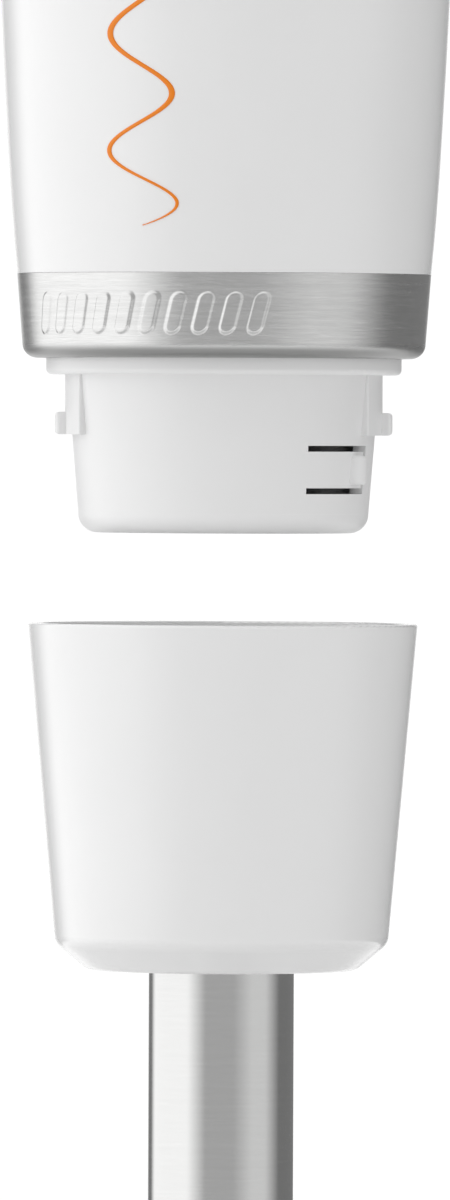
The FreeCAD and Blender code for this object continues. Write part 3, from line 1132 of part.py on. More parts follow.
def blade_arm(length, bend):
    """One arm: a tapered strip bent up or down near the hub, ground to an edge on one side."""
    root_x, bend_x = 2.0, BLADE_HUB_R + 0.4
    reach = length - bend_x
    root, tip = BLADE_ROOT / 2, BLADE_TIP / 2
    lead_tip = tip + 1.2
    flat = box(root_x, bend_x, -root, root, 0, BLADE_THICK)
    outline = [V(0, -root, 0), V(reach, -lead_tip, 0), V(reach, tip, 0), V(0, root, 0)]
    wing = Part.Face(Part.makePolygon([*outline, outline[0]])).extrude(V(0, 0, BLADE_THICK))
    wing = rounded(wing, 1.6, lambda e: follows(e, "z") and e.BoundBox.XMin > reach - 0.1)
    ground = [V(-1, 0, -0.1), V(-1, -2.6, -0.1), V(-1, -2.6, BLADE_THICK - 0.3)]
    bevel = Part.Face(Part.makePolygon([*ground, ground[0]])).extrude(V(reach + 6, 0, 0))
    lean = math.degrees(math.atan2(root - lead_tip, reach))
    bevel = bevel.rotated(V(0, 0, 0), UP, lean).translated(V(0, 2.3 - root, 0))
    wing = wing.cut(bevel)
    wing = wing.rotated(V(0, 0, 0), V(0, -1, 0), bend).translated(V(bend_x - 0.25, 0, 0))
    return flat.fuse(wing)


def blade():
    """Cross-shaped blade: two arms bent up, two bent down."""
    hub = cylinder(BLADE_HUB_R, 0, BLADE_THICK)
    arms = around(blade_arm(BLADE_R, BLADE_UP), (45.0, 225.0))
    arms += around(blade_arm(BLADE_R, BLADE_DOWN), (135.0, 315.0))
    whole = hub.fuse(arms).cut(cylinder(DRIVE_R, -5, 5))
    return whole.translated(V(0, 0, BLADE_Z - BLADE_THICK)).removeSplitter()


def blade_spacer():
    top = SEAL_BOTTOM - 0.5
    ring = tube(SPACER_R, DRIVE_R, BLADE_Z, top)
    return rounded(ring, 0.5, lambda e: is_circle(e, SPACER_R, top))


def blade_nut():
    """Domed nut under the blade."""
    high = BLADE_Z - BLADE_THICK
    low = high - NUT_HEIGHT
    corners = [polar(NUT_R, a, low) for a in even(6, 30.0)]
    prism = Part.Face(Part.makePolygon([*corners, corners[0]])).extrude(V(0, 0, NUT_HEIGHT))
    dome = Part.makeSphere(NUT_R + 0.9, V(0, 0, high)).common(cylinder(20, low - 2, high))
    return prism.common(dome).cut(cylinder(DRIVE_R, low - 5, BLADE_Z))


def thrust_washers():
    """Thin washers under the dog and above the spacer."""
    bore = DRIVE_R + RUN_GAP
    top = tube(4.4, bore, UPPER_BUSH_TOP + 0.05, DOG_COLLAR_BOTTOM - 0.05)
    low = tube(4.4, bore, SEAL_BOTTOM - 0.45, SEAL_BOTTOM - 0.05)
    return [top, low]


# ---- Files --------------------------------------------------------------------------------------
def save(name, shapes, drop=0.0):
    """Writes one node from one shape or several."""
    several = shapes if isinstance(shapes, list) else [shapes]
    solids = [s for shape in several for s in shape.Solids]
    placed = [s.translated(V(0, 0, -drop)) for s in solids]
    whole = placed[0] if len(placed) == 1 else Part.makeCompound(placed)
    volume = sum(s.Volume for s in placed)
    valid = all(s.isValid() for s in placed)
    print(f"{name:24s} {len(placed)} solids  {volume:10.1f} mm3  valid {valid}")
    whole.exportStep(f"parts/{name}.step")


def main():
    os.makedirs("parts", exist_ok=True)
    holders, brushes, brush_springs = brush_sets()
    fixed = {
        "handle_shell": handle_shell(),
        "grip_pad": grip_pad(),
        "steel_band": steel_band(),
        "top_cap": top_cap(),
        "cap_screws": cap_screws(),
        "cord_gland": cord_gland(),
        "cord_clamp": cord_clamp(),
        "coupling_spigot": coupling_spigot(),
        "spigot_screws": spigot_screws(),
        "lower_motor_bracket": lower_motor_bracket(),
        "upper_motor_bracket": upper_motor_bracket(),
        "lower_motor_bearing": bearing(LOWER_BEARING_Z),
        "upper_motor_bearing": bearing(UPPER_BEARING_Z),
        "lower_motor_mount": motor_mount(LOWER_MOUNT_Z),
        "upper_motor_mount": motor_mount(UPPER_MOUNT_Z),
        "stator_core": stator_core(),
        "field_coils": field_coils(),
        "motor_screws": motor_screws(),
        "brush_holders": holders,
        "carbon_brushes": brushes,
        "brush_springs": brush_springs,
        "control_chassis": control_chassis(),
        "control_board": control_board(),
        "board_screws": board_screws(),
        "suppression_capacitor": suppression_capacitor(),
        "speed_triac": triac(),
        "potentiometer": potentiometer(),
        "motor_leads": motor_leads(),
        "armature_core": armature_core(),
        "armature_windings": armature_windings(),
        "commutator": commutator(),
        "cooling_fan": cooling_fan(),
        "rotor_shaft": rotor_shaft(),
        "motor_coupling": motor_coupling(),
        "speed_dial": speed_dial(),
        "dial_spindle": dial_spindle(),
    }
    for name, z in BUTTON_HEIGHTS.items():
        fixed[f"{name}_button"] = button(z)
        fixed[f"{name}_spring"] = button_spring(z)
        fixed[f"{name}_plunger"] = switch_plunger(z)
        fixed[f"{name}_switch"] = switch_body(z)
    leg = {
        "collar_shell": collar_shell(),
        "socket_liner": socket_liner(),
        "socket_gasket": socket_gasket(),
        "tube_pins": tube_pins(),
        "leg_tube": leg_tube(),
        "upper_bush": bush(UPPER_BUSH_BOTTOM, UPPER_BUSH_TOP),
        "lower_bush": bush(LOWER_BUSH_BOTTOM, LOWER_BUSH_TOP),
        "lower_bearing_carrier": lower_bearing_carrier(),
        "shaft_seal": shaft_seal(),
        "bell_guard": bell_guard(),
        "drive_shaft": drive_shaft(),
        "leg_coupling": leg_coupling(),
        "blade": blade(),
        "blade_spacer": blade_spacer(),
        "blade_nut": blade_nut(),
        "thrust_washers": thrust_washers(),
    }
    for name, shape in fixed.items():
        save(name, shape)
    for name, shape in leg.items():
        save(name, shape, LEG_DROP)


main()
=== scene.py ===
"""Looks of an immersion blender: finishes for its parts, an embossed band, springs and printed marks.

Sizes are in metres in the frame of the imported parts: +Z up along the drive axis, front towards -Y.
"""

import math

import bmesh
import bpy
import numpy as np
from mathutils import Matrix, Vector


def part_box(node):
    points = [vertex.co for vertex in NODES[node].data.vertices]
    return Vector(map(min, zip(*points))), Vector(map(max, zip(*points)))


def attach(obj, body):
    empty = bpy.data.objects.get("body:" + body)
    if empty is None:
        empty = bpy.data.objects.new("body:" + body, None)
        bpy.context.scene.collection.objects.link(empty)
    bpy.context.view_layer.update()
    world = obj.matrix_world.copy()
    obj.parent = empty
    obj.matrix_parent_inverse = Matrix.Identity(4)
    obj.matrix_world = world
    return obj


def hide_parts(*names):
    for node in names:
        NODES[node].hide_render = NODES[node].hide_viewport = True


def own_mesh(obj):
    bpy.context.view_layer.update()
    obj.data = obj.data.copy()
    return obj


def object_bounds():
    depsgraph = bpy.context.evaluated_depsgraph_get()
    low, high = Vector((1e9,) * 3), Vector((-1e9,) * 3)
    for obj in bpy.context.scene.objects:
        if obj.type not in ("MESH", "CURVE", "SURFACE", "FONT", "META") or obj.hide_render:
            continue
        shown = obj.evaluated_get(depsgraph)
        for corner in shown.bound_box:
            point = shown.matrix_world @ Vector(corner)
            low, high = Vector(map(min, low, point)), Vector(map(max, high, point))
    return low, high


bl_info = {
    "name": "Hand Blender Looks",
    "version": (1, 0, 0),
    "blender": (4, 5, 0),
    "location": "View3D > Sidebar > Hand Blender",
    "description": "Dresses the parts of a hand blender and sets it on a studio stage",
    "category": "Object",
}

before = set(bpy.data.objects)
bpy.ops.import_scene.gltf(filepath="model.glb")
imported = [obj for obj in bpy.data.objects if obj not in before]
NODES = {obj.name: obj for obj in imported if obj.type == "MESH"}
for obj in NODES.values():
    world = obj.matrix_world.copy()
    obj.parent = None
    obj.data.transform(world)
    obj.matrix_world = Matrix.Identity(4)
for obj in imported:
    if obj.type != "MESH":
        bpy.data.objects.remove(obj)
CAD_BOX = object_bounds()
MM = 0.001

ROW_MARGIN = 6.0        # how far the band's close columns of points go on beyond the row, in degrees
CLOSE_STEP = 0.28       # between those columns, in degrees
WIDE_GAP = 1.5          # from the last close column to the first wide one, in degrees
WIDE_COLUMNS = 180      # number of columns round the rest of the band
SIDE_ROWS = 76          # rows of points up the band's straight side
PRINT_ZONE = (13, 104)  # heights between which the handle's skin is read for the print, in mm
BORE_LIMIT = 29.9       # radius under which a point of the handle is on its bore, in mm
SWASH_RADIUS = 32.0     # radius at which the swash is laid out flat, in mm
SWASH_STEPS = 420       # cross sections along the swash
FLOOR_GAP = 0.6         # from the blender's lowest point down to the floor, in mm
FLOOR_SIDES = 96        # sides of the round floor
BACKDROP_LEVEL = 1.05   # brightness of the plain backdrop

def box_mm(name):
    """Lowest and highest corner of a node at rest, in millimetres."""
    return [[value / MM for value in corner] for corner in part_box(name)]


def middle_mm(name, axis):
    """Middle of a node along an axis, in millimetres."""
    low, high = box_mm(name)
    return (low[axis] + high[axis]) / 2


# ---- Shader maths -------------------------------------------------------------------------------
class Wire:
    """A socket of a node tree. Arithmetic on it adds Math nodes, so that wires mix with plain numbers."""

    def __init__(self, tree, socket):
        self.tree, self.socket = tree, socket

    def math(self, operation, *values):
        return self.tree.add("ShaderNodeMath", {"operation": operation}, dict(enumerate(values)))

    def __add__(self, other):
        return self.math("ADD", self, other)

    def __sub__(self, other):
        return self.math("SUBTRACT", self, other)

    def __mul__(self, other):
        return self.math("MULTIPLY", self, other)

    def __truediv__(self, other):
        return self.math("DIVIDE", self, other)

    def __pow__(self, other):
        return self.math("POWER", self, other)

    def __radd__(self, other):
        return self.math("ADD", other, self)

    def __rsub__(self, other):
        return self.math("SUBTRACT", other, self)

    def __rmul__(self, other):
        return self.math("MULTIPLY", other, self)

    def __abs__(self):
        return self.math("ABSOLUTE", self)

    def sine(self):
        return self.math("SINE", self)

    def root(self):
        return self.math("SQRT", self)

    def turn_from(self, other):
        """The angle of the point (other, self), in radians."""
        return self.math("ARCTAN2", self, other)

    def most(self, other):
        return self.math("MAXIMUM", self, other)

    def within(self, period):
        """The distance to the nearest multiple of a period."""
        return self.math("PINGPONG", self, period / 2)

    def rise(self, low, high):
        """A smooth step from 0 at low to 1 at high."""
        limits = {"Value": self, "From Min": low, "From Max": high}
        return self.tree.add("ShaderNodeMapRange", {"interpolation_type": "SMOOTHSTEP"}, limits)

    def below(self, edge, soft):
        """1 where the wire is under an edge, falling to 0 over a soft border."""
        return 1 - self.rise(edge - soft, edge + soft)


class Tree:
    """A node tree being built, for a material or the world."""

    def __init__(self, nodes, kind):
        self.nodes, self.links = nodes.nodes, nodes.links
        self.nodes.clear()
        self.end = self.nodes.new(kind)

    def add(self, kind, settings=None, sockets=None, output=0):
        """Adds one node: its settings first, then a value or a wire for each named or numbered socket."""
        node = self.nodes.new(kind)
        for name, value in (settings or {}).items():
            if name == "stops":
                self.stops(node.color_ramp.elements, value)
            else:
                setattr(node, name, value)
        for name, value in (sockets or {}).items():
            if isinstance(value, Wire):
                self.links.new(value.socket, node.inputs[name])
            else:
                node.inputs[name].default_value = value
        return Wire(self, node.outputs[output])

    @staticmethod
    def stops(elements, stops):
        """Sets the grey stops of a ramp, each a place and a level."""
        while len(elements) < len(stops):
            elements.new(1.0)
        for element, (place, level) in zip(elements, stops):
            element.position = place
            element.color = (level, level, level, 1)

    def show(self, shader):
        self.links.new(shader.socket, self.end.inputs["Surface"])

    def place(self):
        """Object coordinates in millimetres, as three wires."""
        point = self.add("ShaderNodeTexCoord", output="Object")
        parts = [self.add("ShaderNodeSeparateXYZ", None, {0: point}, i) for i in range(3)]
        return [part * 1000 for part in parts]

    def point(self, x, y, z):
        return self.add("ShaderNodeCombineXYZ", None, {0: x, 1: y, 2: z})

    def noise(self, point, scale=1.0, detail=2.0, roughness=0.5):
        sockets = {"Vector": point, "Scale": scale, "Detail": detail, "Roughness": roughness}
        return self.add("ShaderNodeTexNoise", None, sockets)

    def cells(self, point, scale):
        return self.add("ShaderNodeTexVoronoi", None, {"Vector": point, "Scale": scale})

    def blend(self, amount, one, other):
        """A colour between two, each a colour or a wire."""
        return self.add("ShaderNodeMix", {"data_type": "RGBA"}, {0: amount, 6: one, 7: other}, 2)

    def relief(self, height, depth, below=None):
        """A bump whose height wire counts from 0 to 1 over a depth in millimetres."""
        sockets = {"Height": height, "Distance": depth * MM, "Strength": 1.0}
        if below:
            sockets["Normal"] = below
        return self.add("ShaderNodeBump", None, sockets)


def shade(colour, factor):
    """A colour with its three channels multiplied."""
    return (*[min(1.0, c * factor) for c in colour[:3]], 1.0)


def material(name, tree_of):
    """A new material whose tree is filled by a function that returns the sockets of its shader."""
    made = bpy.data.materials.new(name)
    made.use_nodes = True
    tree = Tree(made.node_tree, "ShaderNodeOutputMaterial")
    tree.show(tree.add("ShaderNodeBsdfPrincipled", None, tree_of(tree)))
    return made


# ---- Finishes -----------------------------------------------------------------------------------
def moulded(name, colour, gloss, grain, coat=0.0, mark=None):
    """Moulded plastic: slow colour drift, faint flow waves, and a fine grain from the tool's surface."""

    def build(t):
        x, y, z = t.place()
        at = t.point(x, y, z)
        drift = t.noise(at, 0.045, 3.0)
        waves = t.noise(at, 0.12, 1.0)
        fine = t.noise(at, 9.0, 2.0, 0.6)
        specks = t.cells(at, 0.9).below(0.05, 0.02)
        base = t.blend(drift, shade(colour, 0.975), shade(colour, 1.02))
        base = t.blend(specks * 0.05, base, shade(colour, 0.7))
        base = mark(t, base, x, z) if mark else base
        bump = t.relief(fine, grain, t.relief(waves, 0.05))
        rough = gloss + 0.07 * (fine - 0.5) + 0.05 * (drift - 0.5)
        return {"Base Color": base, "Roughness": rough, "Coat Weight": coat, "Coat Roughness": 0.06,
                "Specular IOR Level": 0.5, "Normal": bump}

    return material(name, build)


def soft_rubber(name, colour, grain=0.03, studs=None):
    """Matt elastomer with a pebbled skin, and a lattice of shallow studs if their spacing is given."""

    def build(t):
        x, y, z = t.place()
        at = t.point(x, y, z)
        pebbles = t.cells(at, 3.2)
        cloud = t.noise(at, 0.3, 4.0)
        base = t.blend(cloud, shade(colour, 0.88), shade(colour, 1.1))
        bump = t.relief(pebbles, grain)
        rough = 0.62 + 0.18 * cloud
        if studs:
            across = (x + z).within(studs) / studs
            along = (x - z).within(studs) / studs
            stud = (across * across + along * along).root().below(0.36, 0.1)
            base = t.blend(stud * 0.35, base, shade(colour, 1.25))
            bump = t.relief(1 - stud, 0.12, bump)
        return {"Base Color": base, "Roughness": rough, "Sheen Weight": 0.15, "Normal": bump}

    return material(name, build)


def turned_steel(name, colour, rough, streak=1.0, stretch=0.05, cross=0.06, corner=0.0):
    """Metal brushed around the drive axis: fine lines along the ring and two families of hair scratches.

    Below the height given as corner the colour is darkened with painted shade, which stands in for a dark
    reflection along the lower corner, and the metal is also duller there.
    """

    def build(t):
        x, y, z = t.place()
        broad = t.noise(t.point(x * stretch, y * stretch, z * 2.2), 1.0, 3.0)
        fine = t.noise(t.point(x * stretch * 4, y * stretch * 4, z * 9.0), 1.0, 4.0, 0.7)
        up = t.noise(t.point(x * 0.25, y * 0.25, (z + x * cross) * 14.0), 1.0, 2.0).rise(0.58, 0.76)
        down = t.noise(t.point(x * 0.3, y * 0.3, (z - x * cross * 1.7) * 11.0), 1.3, 2.0).rise(0.6, 0.78)
        scratch = up.most(down)
        lines = fine * 0.7 + broad * 0.3
        dark, light = shade(colour, 1 - 0.10 * streak), shade(colour, 1 + 0.08 * streak)
        base = t.blend(lines.rise(0.3, 0.72), dark, light)
        base = t.blend(scratch * 0.4 * streak, base, shade(colour, 1.25))
        roughness = rough + 0.12 * (fine - 0.5) + 0.08 * (broad - 0.5)
        # painted shade: under the corner height the base colour darkens, standing in for a reflection
        if corner:
            painted_corner_shade = z.below(corner * 0.72, corner * 0.3)
            base = t.blend(painted_corner_shade * 0.8, base, shade(colour, 0.42))
            roughness = roughness + painted_corner_shade * 0.12
        bump = t.relief(scratch, 0.002 * streak, t.relief(lines, 0.003 * streak))
        return {"Base Color": base, "Roughness": roughness, "Metallic": 1.0, "Normal": bump}

    return material(name, build)


def drawn_steel(name, colour, rough):
    """Ground and polished metal: crossing hair scratches and a cloudy polish."""

    def build(t):
        x, y, z = t.place()
        cloud = t.noise(t.point(x, y, z), 0.35, 4.0)
        along = t.noise(t.point(x * 8.0, y * 0.5, z * 3.0), 1.0, 3.0, 0.7)
        across = t.noise(t.point(x * 0.5, y * 8.0, z * 3.0), 1.0, 3.0, 0.7)
        hair = along.most(across)
        base = t.blend(cloud * 0.6 + hair * 0.4, shade(colour, 0.84), shade(colour, 1.12))
        roughness = rough + 0.14 * (hair - 0.5) + 0.08 * (cloud - 0.5)
        return {"Base Color": base, "Roughness": roughness, "Metallic": 1.0, "Normal": t.relief(hair, 0.008)}

    return material(name, build)


def plated(name, colour, rough):
    """Plated or cast small metal: blotchy passivation and a slightly pitted skin."""

    def build(t):
        x, y, z = t.place()
        at = t.point(x, y, z)
        blotch = t.noise(at, 0.8, 4.0)
        pits = t.noise(at, 7.0, 3.0, 0.7)
        base = t.blend(blotch, shade(colour, 0.78), shade(colour, 1.15))
        return {"Base Color": base, "Roughness": rough + 0.2 * (blotch - 0.5), "Metallic": 0.95,
                "Normal": t.relief(pits, 0.012)}

    return material(name, build)


def laminations(name, colour, sheet=0.5):
    """A stack of punched steel sheets: one dark line and one burr for each sheet."""

    def build(t):
        x, y, z = t.place()
        seam = z.within(sheet).below(0.06, 0.03)
        stain = t.noise(t.point(x, y, z), 0.25, 4.0)
        base = t.blend(stain, shade(colour, 0.7), shade(colour, 1.4))
        base = t.blend(seam * 0.8, base, shade(colour, 0.3))
        return {"Base Color": base, "Roughness": 0.4 + 0.2 * stain, "Metallic": 0.7,
                "Normal": t.relief(1 - seam, 0.05)}

    return material(name, build)


def wound_wire(name, colour, wire=0.55):
    """Varnished windings: round wires side by side, with painted shade in the gap between them and a painted
    highlight along each wire's crown.
    """

    def build(t):
        x, y, z = t.place()
        reach = (x * x + y * y).root()
        lay = (reach + z * 0.35 + t.noise(t.point(x, y, z), 0.2, 2.0) * 1.5).within(wire) / wire
        crown = (lay * 2).rise(0.0, 0.9)
        cloud = t.noise(t.point(x, y, z), 0.5, 3.0)
        # painted shade and highlight: dark in the gaps between wires, light on their crowns
        base = t.blend(crown, shade(colour, 0.35), shade(colour, 1.2))
        base = t.blend(cloud * 0.4, base, shade(colour, 0.7))
        return {"Base Color": base, "Roughness": 0.24 + 0.15 * cloud, "Metallic": 0.6, "Coat Weight": 0.5,
                "Normal": t.relief(crown, 0.15)}

    return material(name, build)


def circuit(name, colour):
    """Solder-masked laminate: copper tracks under the mask and tinned pads."""

    def build(t):
        x, y, z = t.place()
        bends = t.noise(t.point(x, y, z), 0.09, 0.0) * 14.0
        track = (x + bends).within(2.4).below(0.35, 0.05)
        pads = ((x.within(5.0) ** 2) + (z.within(6.5) ** 2)).root()
        tin = pads.below(0.8, 0.06)
        weave = (x * 6).sine() * (z * 6).sine() * 0.5 + 0.5
        base = t.blend(track, shade(colour, 0.8), shade(colour, 1.7))
        base = t.blend(tin, base, (0.72, 0.72, 0.70, 1))
        return {"Base Color": base, "Roughness": 0.3 + 0.08 * weave, "Metallic": tin * 0.9,
                "Normal": t.relief(track.most(tin), 0.03)}

    return material(name, build)


def ring_mark(t, base, x, z, middle, ink):
    """A ring with an upright bar, printed on the button that switches on."""
    away = ((x * x) + ((z - middle) ** 2)).root()
    ring = abs(away - 2.7).below(0.3, 0.06)
    gap = abs(x).below(0.9, 0.06) * z.rise(middle, middle + 0.1)
    bar = abs(x).below(0.3, 0.06) * abs(z - middle - 2.2).below(1.5, 0.06)
    return t.blend((ring * (1 - gap)).most(bar), base, ink)


def wave_mark(t, base, x, z, middle, ink):
    """Three stacked dashes that grow, printed on the button for more power."""
    dashes = [abs(z - middle - row * 1.7).below(0.32, 0.06) * abs(x).below(2.2 + row * 0.8, 0.06)
              for row in (-1, 0, 1)]
    return t.blend(dashes[0].most(dashes[1]).most(dashes[2]), base, ink)


# ---- Surfaces -----------------------------------------------------------------------------------
def mesh_object(name, points, faces, finish, smooth=True):
    """One object from an array of points in millimetres and lists of corners."""
    mesh = bpy.data.meshes.new(name)
    mesh.from_pydata((np.asarray(points).reshape(-1, 3) * MM).tolist(), [], faces)
    mesh.polygons.foreach_set("use_smooth", np.full(len(mesh.polygons), smooth))
    mesh.materials.append(finish)
    mesh.update()
    made = bpy.data.objects.new(name, mesh)
    bpy.context.scene.collection.objects.link(made)
    return made


def turn_outwards(piece):
    """Makes every face of a closed piece point outwards."""
    work = bmesh.new()
    work.from_mesh(piece.data)
    bmesh.ops.recalc_face_normals(work, faces=work.faces)
    work.to_mesh(piece.data)
    work.free()


def around(radius, turn, height):
    """Points about an upright axis at angles in radians, which count from the front to the right.

    A point is at the radius times the sine of its angle across, minus the radius times the cosine along,
    and at its height.
    """
    return np.stack(np.broadcast_arrays(radius * np.sin(turn), -radius * np.cos(turn), height), -1)


def loop_faces(rows, columns, close_rows):
    """Quads of a grid whose columns join up, and whose rows join up too if asked."""
    row = np.arange(rows if close_rows else rows - 1)[:, None]
    column = np.arange(columns)[None, :]
    after, beside = (row + 1) % rows, (column + 1) % columns
    this_row, next_row = row * columns, after * columns
    corners = [this_row + column, this_row + beside, next_row + beside, next_row + column]
    return np.stack(np.broadcast_arrays(*corners), -1).reshape(-1, 4)


def step(value, low, high):
    """0 below low, 1 above high and a smooth cubic between, for arrays."""
    part = np.clip((value - low) / (high - low), 0, 1)
    return part * part * (3 - 2 * part)


def band_profile(sheet, corner, low_radius, top_radius, top, lip):
    """The closed outline of the band's sheet as (radius, height, share of relief).

    Outside: a straight side from the top edge to the corner, a quarter circle, then the lip. The inside is
    the same path one sheet thickness further in, and the ends are joined by small half rounds.
    """
    centre = low_radius - corner

    def path(inset, steps, bend):
        up = np.linspace(1, 0, steps)
        slope_radius = low_radius - inset + (top_radius - low_radius) * up
        slope = np.stack([slope_radius, corner + (top - corner) * up], 1)
        turn = np.linspace(0, math.pi / 2, bend)[1:]
        bend_radius = corner - inset
        arc = np.stack([centre + bend_radius * np.cos(turn), corner - bend_radius * np.sin(turn)], 1)
        return np.concatenate([slope, arc, [[lip, inset]]])

    outside, inside = path(0.0, SIDE_ROWS, 12), path(sheet, 12, 8)[::-1]
    ease = 0.06
    outside[0, 1] -= ease
    inside[-1, 1] -= ease
    brow = np.array([[top_radius - sheet + ease, top], [top_radius - ease, top]])
    outline = np.concatenate([outside, inside, brow])
    raised = np.zeros(len(outline))
    raised[:SIDE_ROWS] = 1.0
    return outline, raised


def band_relief(angle, height, settings):
    """Height of the embossed row of slanted bars, from 0 to 1.

    Across a bar the relief is a smooth step of the distance to the bar's middle line, measured along the
    ring; along it, the same step of the distance to its two rounded ends. The bars repeat at one pitch.
    """
    low, high = settings.row_bottom, settings.row_top
    one_degree = math.radians(1) * settings.ring_radius
    run = (angle - settings.row_start) * one_degree
    pitch = (settings.row_end - settings.row_start) * one_degree / settings.bars
    run = run - (height - low) * math.tan(math.radians(settings.slant))
    number = np.clip(np.floor(run / pitch), 0, settings.bars - 1)
    across = np.abs(run - (number + 0.5) * pitch)
    half = settings.bar_width / 2
    beyond = np.maximum(0, np.abs(height - (low + high) / 2) - ((high - low) / 2 - half))
    away = np.hypot(across, beyond)
    return 1 - step(away, half - settings.soft / 2, half + settings.soft / 2)


def band_surface(settings, top_radius, top):
    """The embossed band: points in millimetres and faces.

    The outline is turned about the drive axis, with its columns close together under the row of bars and
    wide apart elsewhere. A point then moves out by the relief at its place, square to the sloping side.
    """
    s = settings
    outline, raised = band_profile(s.sheet, s.corner, s.low_radius, top_radius, top, s.lip)
    close = np.arange(s.row_start - ROW_MARGIN, s.row_end + ROW_MARGIN, CLOSE_STEP)
    wide = np.linspace(close[-1] + WIDE_GAP, close[0] + 360 - WIDE_GAP, WIDE_COLUMNS)
    angle = np.concatenate([close, wide])
    wrapped = (angle + 180) % 360 - 180
    radius, height = outline[:, 0:1], outline[:, 1:2]
    bump = raised[:, None] * band_relief(wrapped[None, :], height, s) * s.depth
    lean = math.atan2(top_radius - s.low_radius, top - s.corner)
    turn = np.radians(angle)[None, :]
    points = around(radius + bump * math.cos(lean), turn, height - bump * math.sin(lean))
    return points, loop_faces(len(outline), len(angle), True)[:, ::-1].tolist()


class HB_BandSettings(bpy.types.PropertyGroup):
    """Sizes of the steel band in millimetres and degrees; angles count from the front, to the right."""

    sheet: bpy.props.FloatProperty(
        name="Sheet", description="Thickness of the sheet (mm)",
        default=0.6, min=0.2)
    corner: bpy.props.FloatProperty(
        name="Corner", description="Radius of the lower corner (mm)",
        default=2.2, min=0.7)
    low_radius: bpy.props.FloatProperty(
        name="Lower radius", description="Radius above the corner (mm)",
        default=29.4)
    lip: bpy.props.FloatProperty(
        name="Lip radius", description="Radius of the hole in the lip (mm)",
        default=26.15)
    ring_radius: bpy.props.FloatProperty(
        name="Row radius", description="Radius at which the row is laid out (mm)",
        default=29.8)
    row_start: bpy.props.FloatProperty(
        name="Row start", description="Angle of the row's left end (degrees)",
        default=-65.0)
    row_end: bpy.props.FloatProperty(
        name="Row end", description="Angle of the row's right end (degrees)",
        default=12.0)
    row_bottom: bpy.props.FloatProperty(
        name="Row bottom", description="Lower end of the bars (mm)",
        default=3.5)
    row_top: bpy.props.FloatProperty(
        name="Row top", description="Upper end of the bars (mm)",
        default=9.4)
    bars: bpy.props.IntProperty(
        name="Bars", description="Number of embossed bars",
        default=10, min=1)
    bar_width: bpy.props.FloatProperty(
        name="Bar width", description="Width of one bar (mm)",
        default=2.2, min=0.3)
    slant: bpy.props.FloatProperty(
        name="Slant", description="Lean of the bars (degrees)",
        default=14.0)
    soft: bpy.props.FloatProperty(
        name="Soft edge", description="Width of a bar's sloping edge (mm)",
        default=0.5, min=0.05)
    depth: bpy.props.FloatProperty(
        name="Relief", description="Height of the bars (mm)",
        default=0.24, min=0.0)


class HB_FinishSettings(bpy.types.PropertyGroup):
    """Colours and gloss of the blender's materials."""

    white: bpy.props.FloatVectorProperty(
        name="White", description="Colour of the handle and collar",
        subtype="COLOR", default=(0.87, 0.87, 0.87), min=0, max=1)
    socket_white: bpy.props.FloatVectorProperty(
        name="Socket white", description="Colour of spigot and socket",
        subtype="COLOR", default=(0.86, 0.86, 0.86), min=0, max=1)
    accent: bpy.props.FloatVectorProperty(
        name="Accent", description="Colour of prints and the turbo button",
        subtype="COLOR", default=(0.86, 0.225, 0.0), min=0, max=1)
    grip: bpy.props.FloatVectorProperty(
        name="Grip", description="Colour of the soft grip",
        subtype="COLOR", default=(0.46, 0.47, 0.48), min=0, max=1)
    steel: bpy.props.FloatVectorProperty(
        name="Steel", description="Colour of stainless steel",
        subtype="COLOR", default=(0.66, 0.66, 0.655), min=0, max=1)
    gloss: bpy.props.FloatProperty(
        name="Plastic roughness", description="Roughness of the glossy plastic",
        default=0.2, min=0, max=1, subtype="FACTOR")
    band_rough: bpy.props.FloatProperty(
        name="Band roughness", description="Roughness of the brushed band",
        default=0.24, min=0, max=1, subtype="FACTOR")
    tube_rough: bpy.props.FloatProperty(
        name="Tube roughness", description="Roughness of the leg's tube",
        default=0.13, min=0, max=1, subtype="FACTOR")


class HB_PrintSettings(bpy.types.PropertyGroup):
    """Sizes of the printed and raised marks and of the button springs, in millimetres and degrees."""

    swash_bottom: bpy.props.FloatProperty(
        name="Swash bottom", description="Lower end of the swash (mm)",
        default=19.0)
    swash_top: bpy.props.FloatProperty(
        name="Swash top", description="Upper end of the swash (mm)",
        default=92.0)
    swash_angle: bpy.props.FloatProperty(
        name="Swash angle", description="Middle line of the swash (degrees)",
        default=-22.5)
    swash_reach: bpy.props.FloatProperty(
        name="Swash reach", description="Swing to either side (mm)",
        default=5.6)
    swash_waves: bpy.props.FloatProperty(
        name="Waves", description="Number of waves in the swash",
        default=4.2, min=0.5)
    stroke: bpy.props.FloatProperty(
        name="Stroke", description="Widest part of the stroke (mm)",
        default=1.0, min=0.1)
    film: bpy.props.FloatProperty(
        name="Film", description="How far the print stands out (mm)",
        default=0.1, min=0.01)
    dots: bpy.props.IntProperty(
        name="Dial dots", description="Number of raised dots beside the dial",
        default=9, min=2)
    dot_circle: bpy.props.FloatProperty(
        name="Dot circle", description="Distance of the dots from the dial's axis (mm)",
        default=15.1)
    dot_span: bpy.props.FloatProperty(
        name="Dot span", description="Angle that the dots cover (degrees)",
        default=240.0)
    spring_wire: bpy.props.FloatProperty(
        name="Spring wire", description="Radius of the springs' wire (mm)",
        default=0.35)
    spring_turns: bpy.props.IntProperty(
        name="Spring turns", description="Turns of a button's spring",
        default=4, min=2)
    button_travel: bpy.props.FloatProperty(
        name="Button travel", description="How far a button goes in (mm)",
        default=1.9)


